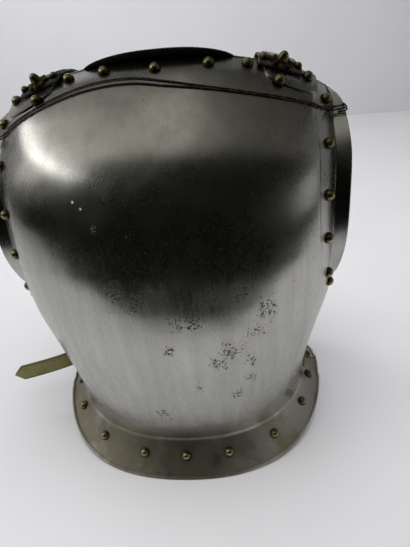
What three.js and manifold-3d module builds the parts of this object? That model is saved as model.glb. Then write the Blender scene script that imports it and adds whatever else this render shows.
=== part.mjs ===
// Cavalry cuirass: a riveted back plate and breast plate of polished steel, joined over the shoulders
// by brass-faced leather straps and round the waist by a leather belt.
// Millimetres, +Z up. The wearer faces -Y, the back plate is at +Y. The whole stands on its lower rim;
// the origin is on the floor, at the middle of the back plate's rim.

import * as THREE from 'three';
import { mergeVertices } from 'three/addons/utils/BufferGeometryUtils.js';
import Module from 'manifold-3d';

const wasm = await Module();
wasm.setup();

// Sheet and clearances
const BACK_WALL = 1.6;
const BREAST_WALL = 2.8;
const SEAT_GAP = 0.35;
const RIVET_SEAT_GAP = 0.5;
const SEAM_GAP = 0.4;

// Form of the two plates
const HALF_WIDTH = 183;
const BACK_DEPTH = 152;
const BREAST_DEPTH = 160;
const WAIST_HEIGHT = 34;
const PLATE_HEIGHT = 400;
const HIP_RISE = 16;
const SHOULDER_DROP = 34;
const SHOULDER_REACH = 0.875 * HALF_WIDTH;
const SHOULDER_CURVE = 2.4;
const NECK_SHIFT = 4.5;
const BACK_SQUARENESS = 2.25;
const BREAST_SQUARENESS = 2.05;
const BREAST_RIDGE = 6;

// Lower flange
const FLARE = 29;
const RIM_HIP_RISE = 46;
const REST_ANGLE = 20;
const RIM_LAND_SHARE = 1.35;

// Raised middle panel and the border band that follows the arm openings
const BAND_WIDTH = 24;
const BAND_STEP = 1.4;
const BAND_FALL = 2.5;
const STEP_WIDTH = 4;

// Turned-out edges at the arms and the neck
const ARM_FLANGE = 15.5;
const ARM_FLANGE_START = 0.352;
const ARM_FLANGE_LEAN = 22;
const COLLAR = 12;
const COLLAR_ANGLE = 23;
const COLLAR_LEAN = 52;
const FULLNESS_TOP = 6;
const FULLNESS_FOOT = 2.6;
const COLLAR_FULLNESS = 2.2;

// Fasteners
const RIVET_DIAMETER = 11.5;
const RIVET_HEIGHT = 6.2;
const RIVET_NECK = 3.2;
const RIVET_INSET = 12;
const SMALL_RIVET_DIAMETER = 8;
const SMALL_RIVET_HEIGHT = 5;

// Shoulder straps
const STRAP_PLACE = 0.731 * SHOULDER_REACH;
const STRAP_WIDTH = 41;
const STRAP_LEATHER = 2.6;
const STRAP_BACK_LENGTH = 14;
const STRAP_ARCH = 9;
const STRAP_FRONT_END = 0.7;
const FACING_WIDTH = 30;
const FACING_WALL = 1.4;
const FACING_SETBACK = 0.012;
const END_PLATE_WIDTH = 52;
const END_PLATE_DEPTH = 33;
const END_PLATE_SHIFT = 11;
const END_PLATE_WALL = 1.5;
const ROSETTE_RADIUS = 11.5;
const ROSETTE_LEAF = 3.5;
const ROSETTE_HEIGHT = 12;
const ROSETTE_PLACE = 8;
const STUD_DIAMETER = 15;
const STUD_HEIGHT = 8;

// Belt
const BELT_WIDTH = 24;
const BELT_LEATHER = 2.6;
const BELT_HEIGHT = 68;
const BELT_TAIL = 86;
const BELT_TAIL_ANGLE = 21;
const BELT_TAIL_BEND = 22;
const BELT_POINT = 9;
const BUCKLE_BAR = 3;
const BUCKLE_WALL = 2.4;
const BUCKLE_LENGTH = 24;
const BUCKLE_FRONT = 36;
const BUCKLE_CLEARANCE = 1.5;
const BELT_STUD_DIAMETER = 10;
const BELT_STUD_HEIGHT = 6;
const BELT_END_ANGLE = 79;
const BELT_STUD_ANGLE = 83.5;
const HIP_ANGLE = 88;

// Hanging wire
const WIRE_DIAMETER = 1.5;
const WIRE_GAP = 0.95;

// Sections of the back plate, from the waist to the neck.
// up: share of PLATE_HEIGHT; wide: share of HALF_WIDTH; deep: share of the plate's depth;
// edge: degrees from the middle at which the plate ends
const BACK_SECTIONS = [
  { up: 0.0, wide: 0.8, deep: 0.85, edge: 90 },
  { up: 0.07, wide: 0.812, deep: 0.88, edge: 90 },
  { up: 0.16, wide: 0.845, deep: 0.925, edge: 90 },
  { up: 0.26, wide: 0.9, deep: 0.97, edge: 90 },
  { up: 0.34, wide: 0.95, deep: 0.995, edge: 90 },
  { up: 0.355, wide: 0.958, deep: 0.998, edge: 87 },
  { up: 0.375, wide: 0.97, deep: 1.0, edge: 80 },
  { up: 0.41, wide: 0.985, deep: 1.0, edge: 73 },
  { up: 0.47, wide: 1.01, deep: 0.995, edge: 66.5 },
  { up: 0.56, wide: 1.045, deep: 0.975, edge: 61 },
  { up: 0.68, wide: 1.065, deep: 0.905, edge: 59 },
  { up: 0.8, wide: 1.06, deep: 0.77, edge: 60.7 },
  { up: 0.9, wide: 1.015, deep: 0.565, edge: 65.6 },
  { up: 0.96, wide: 0.97, deep: 0.375, edge: 76 },
  { up: 0.995, wide: 0.93, deep: 0.18, edge: 84 },
];

// Sections of the breast plate, same columns; it ends lower, at the pit of the neck
const BREAST_SECTIONS = [
  { up: 0.0, wide: 0.8, deep: 0.84, edge: 90 },
  { up: 0.07, wide: 0.812, deep: 0.89, edge: 90 },
  { up: 0.16, wide: 0.845, deep: 0.945, edge: 90 },
  { up: 0.26, wide: 0.9, deep: 0.985, edge: 90 },
  { up: 0.34, wide: 0.95, deep: 1.0, edge: 90 },
  { up: 0.355, wide: 0.958, deep: 1.0, edge: 87 },
  { up: 0.375, wide: 0.967, deep: 0.998, edge: 79 },
  { up: 0.41, wide: 0.98, deep: 0.99, edge: 72 },
  { up: 0.47, wide: 0.99, deep: 0.97, edge: 65.5 },
  { up: 0.56, wide: 1.0, deep: 0.935, edge: 60 },
  { up: 0.68, wide: 1.0, deep: 0.88, edge: 57 },
  { up: 0.8, wide: 0.98, deep: 0.8, edge: 58 },
  { up: 0.88, wide: 0.95, deep: 0.72, edge: 61 },
  { up: 0.94, wide: 0.9, deep: 0.64, edge: 65 },
];

// Border rivets beside the arm opening and down the side. up: share of PLATE_HEIGHT
const ARM_RIVETS = [
  { name: 'arm_1', up: 0.945 },
  { name: 'arm_2', up: 0.826 },
  { name: 'arm_3', up: 0.692 },
  { name: 'arm_4', up: 0.573 },
  { name: 'arm_5', up: 0.45 },
  { name: 'arm_6', up: 0.4 },
  { name: 'side_1', up: 0.3 },
  { name: 'side_2', up: 0.19 },
];

// Border rivets along the neck and shoulder. out: share of SHOULDER_REACH from the middle; up as above;
// onEndPlate: the rivet holds the strap's end plate
const TOP_RIVETS = [
  { name: 'neck_1', out: 0.31, up: 0.977, onEndPlate: false },
  { name: 'neck_2', out: 0.54, up: 0.981, onEndPlate: false },
  { name: 'shoulder_1', out: 0.72, up: 0.953, onEndPlate: true },
  { name: 'shoulder_2', out: 0.9, up: 0.978, onEndPlate: true },
];

const NECK_RIVET_UP = 0.972;

// Rivets of the lower flange: degrees from the middle, and their place between waist and rim
const FLANGE_RIVET_ANGLES = [16, 38.5, 62.5, 80];
const FLANGE_RIVET_SHARE = 0.46;

// Route of the doubled wire over the back plate, from the hook on the wearer's right arm flange to the
// left and back. out: share of SHOULDER_REACH, + is the wearer's right (-X); up: share of PLATE_HEIGHT
const WIRE_ROUTE = [
  { out: 0.975, up: 0.915 },
  { out: 0.84, up: 0.918 },
  { out: 0.56, up: 0.926 },
  { out: 0.3, up: 0.938 },
  { out: 0.09, up: 0.95 },
  { out: -0.12, up: 0.961 },
  { out: -0.36, up: 0.96 },
  { out: -0.6, up: 0.947 },
  { out: -0.84, up: 0.925 },
  { out: -0.975, up: 0.903 },
];
const WIRE_SPREAD = 3.2;

const STEEL = { color: 0x9a9994, roughness: 0.28, metalness: 1 };
const BRASS = { color: 0xa08a55, roughness: 0.35, metalness: 1 };
const IRON = { color: 0x4a4744, roughness: 0.55, metalness: 1 };
const BUFF_LEATHER = { color: 0xa79a66, roughness: 0.7, metalness: 0 };
const BROWN_LEATHER = { color: 0x4b372a, roughness: 0.7, metalness: 0 };

const BACK = {
  facing: 1, depth: BACK_DEPTH, squareness: BACK_SQUARENESS, ridge: 0, wall: BACK_WALL,
  neckShift: NECK_SHIFT, sections: BACK_SECTIONS,
};
const BREAST = {
  facing: -1, depth: BREAST_DEPTH, squareness: BREAST_SQUARENESS, ridge: BREAST_RIDGE,
  wall: BREAST_WALL, neckShift: 0, sections: BREAST_SECTIONS,
};

const RIDGE_ANGLE = 0.5;
const rad = THREE.MathUtils.degToRad;
const lerp = THREE.MathUtils.lerp;
const clamp = THREE.MathUtils.clamp;

// Smooth value of a table's column at a height share: cubic pieces with averaged slopes
function sectionValue(sections, up, column) {
  const last = sections.length - 1;
  let k = 0;
  while (k < last - 1 && up >= sections[k + 1].up) k += 1;
  const slope = (i) => {
    const a = sections[Math.max(i - 1, 0)];
    const b = sections[Math.min(i + 1, last)];
    return (b[column] - a[column]) / (b.up - a.up);
  };
  const low = sections[k];
  const high = sections[k + 1];
  const span = high.up - low.up;
  const s = (up - low.up) / span;
  const s2 = s * s;
  const s3 = s2 * s;
  return (2 * s3 - 3 * s2 + 1) * low[column] + (s3 - 2 * s2 + s) * span * slope(k)
    + (3 * s2 - 2 * s3) * high[column] + (s3 - s2) * span * slope(k + 1);
}

// The wearer faces -Y, so the left hand is at +X
function handOf(side) {
  return side > 0 ? 'left' : 'right';
}

function topOf(plate) {
  return plate.sections[plate.sections.length - 1].up;
}

function edgeAngle(plate, up) {
  return rad(sectionValue(plate.sections, up, 'edge'));
}

// Point of a plate's outer form. angle: signed, radians from the middle; up: share of PLATE_HEIGHT
function formPoint(plate, angle, up) {
  const a = Math.abs(angle);
  const power = 2 / plate.squareness;
  const halfWidth = HALF_WIDTH * sectionValue(plate.sections, up, 'wide');
  const depth = plate.depth * sectionValue(plate.sections, up, 'deep');
  const x = halfWidth * Math.sin(a) ** power;
  const ridge = plate.ridge * Math.max(0, 1 - a / RIDGE_ANGLE) ** 1.6;
  const y = depth * Math.max(0, Math.cos(a)) ** power + ridge;
  const z = WAIST_HEIGHT + PLATE_HEIGHT * up
    + HIP_RISE * (1 - up) ** 3 * (1 - Math.cos(a))
    - SHOULDER_DROP * up ** 4 * (x / SHOULDER_REACH) ** SHOULDER_CURVE;
  const shift = plate.neckShift * up ** 10 * Math.max(0, 1 - (x / SHOULDER_REACH) ** 2);
  return new THREE.Vector3(x * Math.sign(angle) - shift, y * plate.facing, z);
}

// How far the border band lies below the form at a share of the way from its crease to the edge; beside
// the arm opening it also falls away towards the edge
function bandSunk(up, share) {
  const rise = THREE.MathUtils.smoothstep(up, ARM_FLANGE_START - 0.05, ARM_FLANGE_START + 0.07);
  return BAND_STEP + BAND_FALL * rise * share;
}

// Angle at which the form reaches a given distance from the middle plane
function angleAtX(plate, x, up) {
  const halfWidth = HALF_WIDTH * sectionValue(plate.sections, up, 'wide');
  const share = clamp(Math.abs(x) / halfWidth, 0, 1);
  return Math.sign(x) * Math.asin(share ** (plate.squareness / 2));
}

// Angle that lies a distance in mm inside the plate's edge
function insetAngle(plate, up, distance) {
  const edge = edgeAngle(plate, up);
  const probe = 0.02;
  const chord = formPoint(plate, edge, up).distanceTo(formPoint(plate, edge - probe, up));
  return edge - distance * probe / chord;
}

// How far a plate's surface lies below the form at any angle
function sunkAt(plate, angle, up) {
  const crease = insetAngle(plate, up, BAND_WIDTH);
  const past = Math.abs(angle) - crease;
  return past > 0 ? bandSunk(up, Math.min(1, past / (edgeAngle(plate, up) - crease))) : 0;
}

// Outward unit normal of the form
function formNormal(plate, angle, up) {
  const h = 0.004;
  const top = topOf(plate);
  const high = formPoint(plate, angle, Math.min(up + h, top));
  const low = formPoint(plate, angle, Math.max(up - h, 0));
  const limit = Math.PI / 2;
  const right = formPoint(plate, Math.min(angle + h, limit), up);
  const left = formPoint(plate, Math.max(angle - h, -limit), up);
  const normal = right.sub(left).cross(high.sub(low));
  if (normal.y * plate.facing < 0) normal.negate();
  if (Math.abs(normal.y) < Math.abs(normal.x) && normal.x * angle < 0) normal.negate();
  return normal.normalize();
}

// Point of the lower flange. share: 0 at the waist crease, 1 at the rim
function flangePoint(plate, angle, share) {
  const a = Math.abs(angle);
  const root = formPoint(plate, angle, 0);
  const flare = FLARE * (1 - 0.25 * Math.sin(a) ** 4) * share ** 1.25;
  const rimHeight = RIM_HIP_RISE * Math.max(0, Math.cos(rad(REST_ANGLE)) - Math.cos(a)) ** 1.2;
  return new THREE.Vector3(
    root.x + Math.sin(angle) * flare,
    root.y + Math.cos(a) * flare * plate.facing,
    lerp(root.z, rimHeight, share),
  );
}

// Point of a plate's outer face that lies a depth in mm below the form
function platePoint(plate, angle, up, sunk) {
  const point = formPoint(plate, angle, up);
  return point.addScaledVector(formNormal(plate, angle, up), -sunk);
}

function toGeometry(positions, triangles) {
  const geometry = new THREE.BufferGeometry();
  geometry.setAttribute('position', new THREE.Float32BufferAttribute(positions, 3));
  geometry.setIndex(triangles);
  return geometry;
}

function signedVolume(geometry) {
  const p = geometry.attributes.position;
  const index = geometry.index.array;
  const a = new THREE.Vector3();
  const b = new THREE.Vector3();
  const c = new THREE.Vector3();
  let volume = 0;
  for (let i = 0; i < index.length; i += 3) {
    a.fromBufferAttribute(p, index[i]);
    b.fromBufferAttribute(p, index[i + 1]);
    c.fromBufferAttribute(p, index[i + 2]);
    volume += a.dot(b.cross(c)) / 6;
  }
  return volume;
}

// Turns every face when the closed body came out inside out
function facingOut(geometry) {
  if (signedVolume(geometry) > 0) return geometry;
  const index = geometry.index.array;
  for (let i = 0; i < index.length; i += 3) {
    [index[i], index[i + 1]] = [index[i + 1], index[i]];
  }
  return geometry;
}

// Closed sheet between two grids of points with equal rows and columns
function sheetBetween(outer, inner) {
  const rows = outer.length;
  const columns = outer[0].length;
  const positions = [];
  [outer, inner].forEach((grid) => grid.forEach((row) => row.forEach((p) => positions.push(p.x, p.y, p.z))));
  const id = (side, i, j) => (side * rows + i) * columns + j;
  const triangles = [];
  const quad = (a, b, c, d) => triangles.push(a, b, c, a, c, d);
  for (let i = 0; i < rows - 1; i += 1) {
    for (let j = 0; j < columns - 1; j += 1) {
      quad(id(0, i, j), id(0, i, j + 1), id(0, i + 1, j + 1), id(0, i + 1, j));
      quad(id(1, i, j), id(1, i + 1, j), id(1, i + 1, j + 1), id(1, i, j + 1));
    }
    quad(id(0, i, 0), id(0, i + 1, 0), id(1, i + 1, 0), id(1, i, 0));
    quad(id(0, i + 1, columns - 1), id(0, i, columns - 1), id(1, i, columns - 1), id(1, i + 1, columns - 1));
  }
  for (let j = 0; j < columns - 1; j += 1) {
    quad(id(0, 0, j + 1), id(0, 0, j), id(1, 0, j), id(1, 0, j + 1));
    quad(id(0, rows - 1, j), id(0, rows - 1, j + 1), id(1, rows - 1, j + 1), id(1, rows - 1, j));
  }
  return facingOut(toGeometry(positions, triangles));
}

// The grid moved along its own normals; outward is a function that says which way is out at a point
function offsetGrid(grid, distance, outward) {
  const rows = grid.length;
  const columns = grid[0].length;
  return grid.map((row, i) => row.map((point, j) => {
    const along = grid[Math.min(i + 1, rows - 1)][j].clone().sub(grid[Math.max(i - 1, 0)][j]);
    const across = row[Math.min(j + 1, columns - 1)].clone().sub(row[Math.max(j - 1, 0)]);
    const normal = along.cross(across).normalize();
    if (normal.dot(outward(point)) < 0) normal.negate();
    return point.clone().addScaledVector(normal, distance);
  }));
}

function toSolid(geometry) {
  const bare = geometry.clone();
  bare.deleteAttribute('normal');
  bare.deleteAttribute('uv');
  const merged = mergeVertices(bare, 1e-4);
  return new wasm.Manifold(new wasm.Mesh({
    numProp: 3,
    vertProperties: new Float32Array(merged.attributes.position.array),
    triVerts: new Uint32Array(merged.index.array),
  }));
}

function fromSolid(solid) {
  const mesh = solid.getMesh();
  return toGeometry(Array.from(mesh.vertProperties), Array.from(mesh.triVerts));
}

const COLUMN_COUNT = 7;
const FLANGE_ROWS = [1, 0.66, 0.33];
const STATION_COUNT = 13;
// Heights of a plate's rows, as shares of its own height: closer where the form bends most
const ROW_SHARES = [
  0, 0.07, 0.15, 0.24, 0.32, 0.355, 0.39, 0.43, 0.5, 0.58, 0.66, 0.74, 0.81, 0.87, 0.92, 0.955, 0.982, 1,
];

// Signed angles of one row of a plate's grid, from edge to edge, with how far each point is sunk
function rowColumns(plate, up) {
  const edge = edgeAngle(plate, up);
  const crease = insetAngle(plate, up, BAND_WIDTH);
  const panelEdge = insetAngle(plate, up, BAND_WIDTH + STEP_WIDTH);
  const half = [{ angle: 0, sunk: 0 }];
  for (let k = 1; k <= COLUMN_COUNT; k += 1) {
    half.push({ angle: panelEdge * k / COLUMN_COUNT, sunk: 0 });
  }
  [0, 0.5, 1].forEach((share) => half.push({ angle: lerp(crease, edge, share), sunk: bandSunk(up, share) }));
  const mirrored = half.slice(1).reverse().map((c) => ({ angle: -c.angle, sunk: c.sunk }));
  return mirrored.concat(half);
}

// Keeps the side edges just off the plane where the two plates meet
function clearOfSeam(point, plate) {
  point.y = plate.facing * Math.max(point.y * plate.facing, SEAM_GAP / 2);
  return point;
}

// Width of the flat underside of a plate's rim
function rimLand(plate) {
  return plate.wall * RIM_LAND_SHARE;
}

function plateSheet(plate) {
  const outer = [];
  const inner = [];
  const flat = new THREE.Vector3();
  FLANGE_ROWS.forEach((share) => {
    const columns = rowColumns(plate, 0);
    outer.push(columns.map((c) => {
      const point = flangePoint(plate, c.angle, share);
      flat.set(-Math.sin(c.angle), -Math.cos(c.angle) * plate.facing, 0);
      return clearOfSeam(point.addScaledVector(flat, c.sunk), plate);
    }));
  });
  const top = topOf(plate);
  ROW_SHARES.forEach((share) => {
    const up = top * share;
    outer.push(rowColumns(plate, up).map((c) => clearOfSeam(platePoint(plate, c.angle, up, c.sunk), plate)));
  });
  const outward = (p) => new THREE.Vector3(p.x / HALF_WIDTH, p.y / plate.depth, 0.25);
  offsetGrid(outer, -plate.wall, outward).forEach((row, i) => {
    inner.push(row.map((point, j) => {
      if (i > 0) return clearOfSeam(point, plate);
      const rim = outer[0][j];
      const angle = rowColumns(plate, 0)[j].angle;
      flat.set(-Math.sin(angle), -Math.cos(angle) * plate.facing, 0);
      return clearOfSeam(rim.clone().addScaledVector(flat, rimLand(plate)), plate);
    }));
  });
  return sheetBetween(outer, inner);
}

// A strip turned outwards along an edge. stations: { point, along, normal, turn, width }, where along
// runs past the edge in the plate, and turn is the direction that the strip takes
function turnedStrip(stations, wall) {
  const grids = [[], []];
  stations.forEach(({ point, along, normal, turn, width }) => {
    const deep = point.clone().addScaledVector(normal, -wall / 2);
    const near = deep.clone().addScaledVector(along, -0.15 * wall);
    const far = deep.clone().addScaledVector(along, -1.15 * wall);
    const reach = width + wall / 2;
    grids[0].push([near, near.clone().addScaledVector(turn, reach)]);
    grids[1].push([far, far.clone().addScaledVector(turn, reach)]);
  });
  return sheetBetween(grids[0], grids[1]);
}

// Width share of a turned edge between its two tips
function taper(position, fullness) {
  return Math.max(0, 1 - Math.abs(position) ** fullness) ** 0.7;
}

// One station of an arm flange: where it grows from the plate's edge and how far it reaches
function armStation(plate, side, up) {
  const top = topOf(plate) - 0.002;
  const share = (up - ARM_FLANGE_START) / (top - ARM_FLANGE_START);
  const angle = side * edgeAngle(plate, up);
  const normal = formNormal(plate, angle, up);
  const sunk = bandSunk(up, 1);
  const point = platePoint(plate, angle, up, sunk);
  const inside = platePoint(plate, angle - side * 0.03, up, sunk);
  const below = side * edgeAngle(plate, up - 0.01);
  const rise = point.clone().sub(platePoint(plate, below, up - 0.01, sunk)).normalize();
  const along = point.clone().sub(inside);
  along.addScaledVector(rise, -along.dot(rise)).normalize();
  const lean = rad(ARM_FLANGE_LEAN);
  const turn = normal.clone().multiplyScalar(Math.cos(lean)).addScaledVector(along, Math.sin(lean));
  const width = ARM_FLANGE * taper(2 * share - 1, share > 0.5 ? FULLNESS_TOP : FULLNESS_FOOT);
  return { point, along, normal, turn, width };
}

function armFlange(plate, side) {
  const top = topOf(plate) - 0.002;
  const stations = [];
  for (let i = 0; i <= STATION_COUNT; i += 1) {
    stations.push(armStation(plate, side, lerp(ARM_FLANGE_START, top, i / STATION_COUNT)));
  }
  return turnedStrip(stations, plate.wall);
}

function collar(plate) {
  const up = topOf(plate);
  const stations = [];
  for (let i = 0; i <= STATION_COUNT; i += 1) {
    const position = 2 * i / STATION_COUNT - 1;
    const angle = position * rad(COLLAR_ANGLE);
    const point = platePoint(plate, angle, up, 0);
    const normal = formNormal(plate, angle, up);
    const along = point.clone().sub(platePoint(plate, angle, up - 0.01, 0)).normalize();
    const lean = rad(COLLAR_LEAN);
    const turn = new THREE.Vector3(
      Math.sin(angle) * Math.sin(lean),
      Math.cos(angle) * Math.sin(lean) * plate.facing,
      Math.cos(lean),
    );
    stations.push({ point, along, normal, turn, width: COLLAR * taper(position, COLLAR_FULLNESS) });
  }
  return turnedStrip(stations, plate.wall);
}

function plateSolid(plate) {
  return [armFlange(plate, 1), armFlange(plate, -1), collar(plate)]
    .map(toSolid)
    .reduce((whole, strip) => whole.add(strip), toSolid(plateSheet(plate)));
}

// Domed head on a short neck, or on no neck where neckHeight is 0; base at the origin, axis +Z
function domeGeometry(diameter, height, neckRadius, neckHeight, sides) {
  const radius = diameter / 2;
  const neck = neckHeight > 0 ? [[neckRadius, 0], [neckRadius, neckHeight]] : [];
  const profile = [
    [0, 0], ...neck, [radius, neckHeight], [radius * 0.74, height * 0.72], [0, height],
  ];
  return new THREE.LatheGeometry(profile.map(([r, z]) => new THREE.Vector2(r, z)), sides).rotateX(Math.PI / 2);
}

function placedAlong(geometry, point, normal) {
  const turn = new THREE.Quaternion().setFromUnitVectors(new THREE.Vector3(0, 0, 1), normal);
  return geometry.applyQuaternion(turn).translate(point.x, point.y, point.z);
}

// Where each rivet of a plate sits, as { name, point, normal, carrier }; carrier is 0 for the plate, 1 and
// 2 for the left and right end plates. On the breast plate the strap takes the place of the rivet under it
function rivetSeats(plate) {
  const seats = [];
  const add = (name, point, normal, carrier) => seats.push({ name, point, normal, carrier });
  const top = topOf(plate);
  const shareOfTop = top / topOf(BACK);
  const flangeSeat = (name, angle) => {
    const outer = flangePoint(plate, angle, 0.7);
    const inner = flangePoint(plate, angle, 0.3);
    const beside = flangePoint(plate, angle + 0.05, 0.5).sub(flangePoint(plate, angle - 0.05, 0.5));
    const normal = outer.sub(inner).cross(beside).normalize();
    if (normal.z < 0) normal.negate();
    add(name, flangePoint(plate, angle, FLANGE_RIVET_SHARE), normal, 0);
  };
  const formSeat = (name, angle, height, carrier) => {
    const point = platePoint(plate, angle, height, sunkAt(plate, angle, height));
    add(name, point, formNormal(plate, angle, height), carrier);
  };
  flangeSeat('flange_middle', 0);
  formSeat('neck_middle', 0, NECK_RIVET_UP * shareOfTop, 0);
  [1, -1].forEach((side) => {
    const hand = handOf(side);
    FLANGE_RIVET_ANGLES.forEach((degrees, k) => flangeSeat(`flange_${k + 1}_${hand}`, side * rad(degrees)));
    ARM_RIVETS.forEach(({ name, up }) => {
      const height = up * (up > ARM_FLANGE_START ? lerp(1, shareOfTop, (up - ARM_FLANGE_START) * 1.5) : 1);
      const angle = side * insetAngle(plate, height, RIVET_INSET);
      formSeat(`${name}_${hand}`, angle, height, 0);
    });
    TOP_RIVETS.forEach(({ name, out, up, onEndPlate }) => {
      const fromStrap = Math.abs(out * SHOULDER_REACH - STRAP_PLACE);
      if (plate === BREAST && fromStrap < (STRAP_WIDTH + RIVET_DIAMETER) / 2) return;
      const height = up * shareOfTop;
      const angle = angleAtX(plate, side * out * SHOULDER_REACH, height);
      const endPlateOf = side > 0 ? 1 : 2;
      formSeat(`${name}_${hand}`, angle, height, onEndPlate ? endPlateOf : 0);
    });
  });
  return seats;
}

// Point a gap above the faces of a carrier, found along rays beside a piece's neck
function seatedOn(carrier, { point, normal }, neckRadius, gap) {
  const start = 10;
  const rays = 6;
  const beside = new THREE.Vector3(0, 0, 1).cross(normal).normalize().multiplyScalar(neckRadius);
  const caster = new THREE.Raycaster();
  let highest = -start;
  for (let k = 0; k < rays; k += 1) {
    const offset = beside.clone().applyAxisAngle(normal, 2 * Math.PI * k / rays);
    caster.set(point.clone().add(offset).addScaledVector(normal, start), normal.clone().negate());
    const hit = caster.intersectObject(carrier)[0];
    if (hit) highest = Math.max(highest, start - hit.distance);
  }
  return point.clone().addScaledVector(normal, highest + gap);
}

// Point at a distance in mm above a plate's form, at a place across it
function restingPoint(plate, x, up, lift) {
  const angle = angleAtX(plate, x, up);
  return formPoint(plate, angle, up).addScaledVector(formNormal(plate, angle, up), lift);
}

// Share of PLATE_HEIGHT that lies a distance in mm below a plate's top edge, measured on its surface
function upBelowTop(plate, x, distance) {
  const step = 0.002;
  let up = topOf(plate);
  let gone = 0;
  let point = restingPoint(plate, x, up, 0);
  while (gone < distance) {
    const next = restingPoint(plate, x, up - step, 0);
    const length = next.distanceTo(point);
    if (gone + length > distance) return up - step * (distance - gone) / length;
    gone += length;
    up -= step;
    point = next;
  }
  return up;
}

// Outward side of anything that lies over the shoulders
function skyward(p) {
  return new THREE.Vector3(0, Math.sign(p.y) * 0.35, 1);
}

// End plate of a shoulder strap, lying on the border of the back plate, its lower edge a shallow bow
function endPlate(side) {
  const columns = 8;
  const rows = 4;
  const lower = [];
  for (let i = 0; i <= rows; i += 1) {
    const row = [];
    for (let j = 0; j <= columns; j += 1) {
      const across = 2 * j / columns - 1;
      const bow = 0.6 + 0.4 * Math.sqrt(1 - across * across);
      const x = side * (STRAP_PLACE + END_PLATE_SHIFT + across * END_PLATE_WIDTH / 2);
      const up = upBelowTop(BACK, x, 1 + END_PLATE_DEPTH * bow * i / rows);
      row.push(restingPoint(BACK, x, up, SEAT_GAP));
    }
    lower.push(row);
  }
  return sheetBetween(offsetGrid(lower, END_PLATE_WALL, skyward), lower);
}

const STRAP_BACK_LIFT = END_PLATE_WALL + 2 * SEAT_GAP;
const BACK_STRAP_ROWS = 3;

// Rows of points that a shoulder strap's underside follows: over the back plate, in an arch across the
// gap between the plates, and down the breast plate
function strapRows(side, width, backLength, frontEnd) {
  const across = [-1, -0.5, 0, 0.5, 1];
  const places = across.map((a) => side * (STRAP_PLACE + a * width / 2));
  const rows = [];
  [1, 0.5, 0].forEach((share) => {
    rows.push(places.map((x) => {
      const up = upBelowTop(BACK, x, 1 + backLength * share);
      return restingPoint(BACK, x, up, STRAP_BACK_LIFT);
    }));
  });
  const last = rows[rows.length - 1];
  const frontRow = (up) => places.map((x) => restingPoint(BREAST, x, up, SEAT_GAP));
  const first = frontRow(topOf(BREAST));
  const archRows = 5;
  for (let k = 1; k < archRows; k += 1) {
    const share = k / archRows;
    const arch = STRAP_ARCH * Math.sin(Math.PI * share);
    rows.push(last.map((p, j) => p.clone().lerp(first[j], share).add(new THREE.Vector3(0, 0, arch))));
  }
  const frontRows = 5;
  for (let k = 0; k <= frontRows; k += 1) {
    rows.push(frontRow(lerp(topOf(BREAST), frontEnd, k / frontRows)));
  }
  return rows;
}

function shoulderStrap(side) {
  const rows = strapRows(side, STRAP_WIDTH, STRAP_BACK_LENGTH, STRAP_FRONT_END);
  return sheetBetween(offsetGrid(rows, STRAP_LEATHER, skyward), rows);
}

// Brass facing of the strap: starts where the strap leaves the back plate, ends short of its front end
function strapFacing(side) {
  const rows = strapRows(side, FACING_WIDTH, STRAP_BACK_LENGTH, STRAP_FRONT_END + FACING_SETBACK);
  const under = offsetGrid(rows, STRAP_LEATHER + RIVET_SEAT_GAP, skyward);
  const upper = offsetGrid(rows, STRAP_LEATHER + RIVET_SEAT_GAP + FACING_WALL, skyward);
  return sheetBetween(upper.slice(BACK_STRAP_ROWS), under.slice(BACK_STRAP_ROWS));
}

// Cast rosette: eight leaves round a knob, base at the origin, axis +Z
function rosetteGeometry() {
  const leaves = 8;
  const points = [];
  for (let k = 0; k < leaves * 4; k += 1) {
    const angle = 2 * Math.PI * k / (leaves * 4);
    const radius = ROSETTE_RADIUS * (0.88 + 0.12 * Math.cos(leaves * angle));
    points.push(new THREE.Vector2(radius * Math.cos(angle), radius * Math.sin(angle)));
  }
  const disc = new THREE.ExtrudeGeometry(new THREE.Shape(points), { depth: ROSETTE_LEAF, bevelEnabled: false });
  const knob = domeGeometry(ROSETTE_RADIUS, ROSETTE_HEIGHT, ROSETTE_RADIUS / 2, ROSETTE_LEAF * 0.8, 10);
  return fromSolid(toSolid(disc).add(toSolid(knob.translate(0, 0, 0.1))));
}

// What sits on a shoulder, with the layers that carry it
function shoulderSeat(side, sideways, below, lift) {
  const x = side * (STRAP_PLACE + sideways);
  const up = upBelowTop(BACK, x, below);
  const angle = angleAtX(BACK, x, up);
  return { point: restingPoint(BACK, x, up, lift), normal: formNormal(BACK, angle, up) };
}

// Point on the waist of a plate at the belt's height. rise: mm above the belt's middle line
function waistPoint(plate, angle, rise, lift) {
  const lean = HIP_RISE * (1 - Math.cos(angle));
  const up = (BELT_HEIGHT + rise - WAIST_HEIGHT - lean) / PLATE_HEIGHT;
  const point = formPoint(plate, angle, up).addScaledVector(formNormal(plate, angle, up), lift);
  return point;
}

// Angle at which a plate's waist is a distance in mm from the seam plane
function waistAngle(plate, distance) {
  const up = (BELT_HEIGHT - WAIST_HEIGHT) / PLATE_HEIGHT;
  const depth = plate.depth * sectionValue(plate.sections, up, 'deep');
  return Math.acos((distance / depth) ** (plate.squareness / 2));
}

const BELT_RISES = [-BELT_WIDTH / 2, 0, BELT_WIDTH / 2];
const BELT_LIFT = 2.4 * SEAT_GAP;
const beltRow = (plate, angle, lift) => BELT_RISES.map((rise) => waistPoint(plate, angle, rise, lift));
const fromAxis = (p) => new THREE.Vector3(p.x, p.y, 0);

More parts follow.
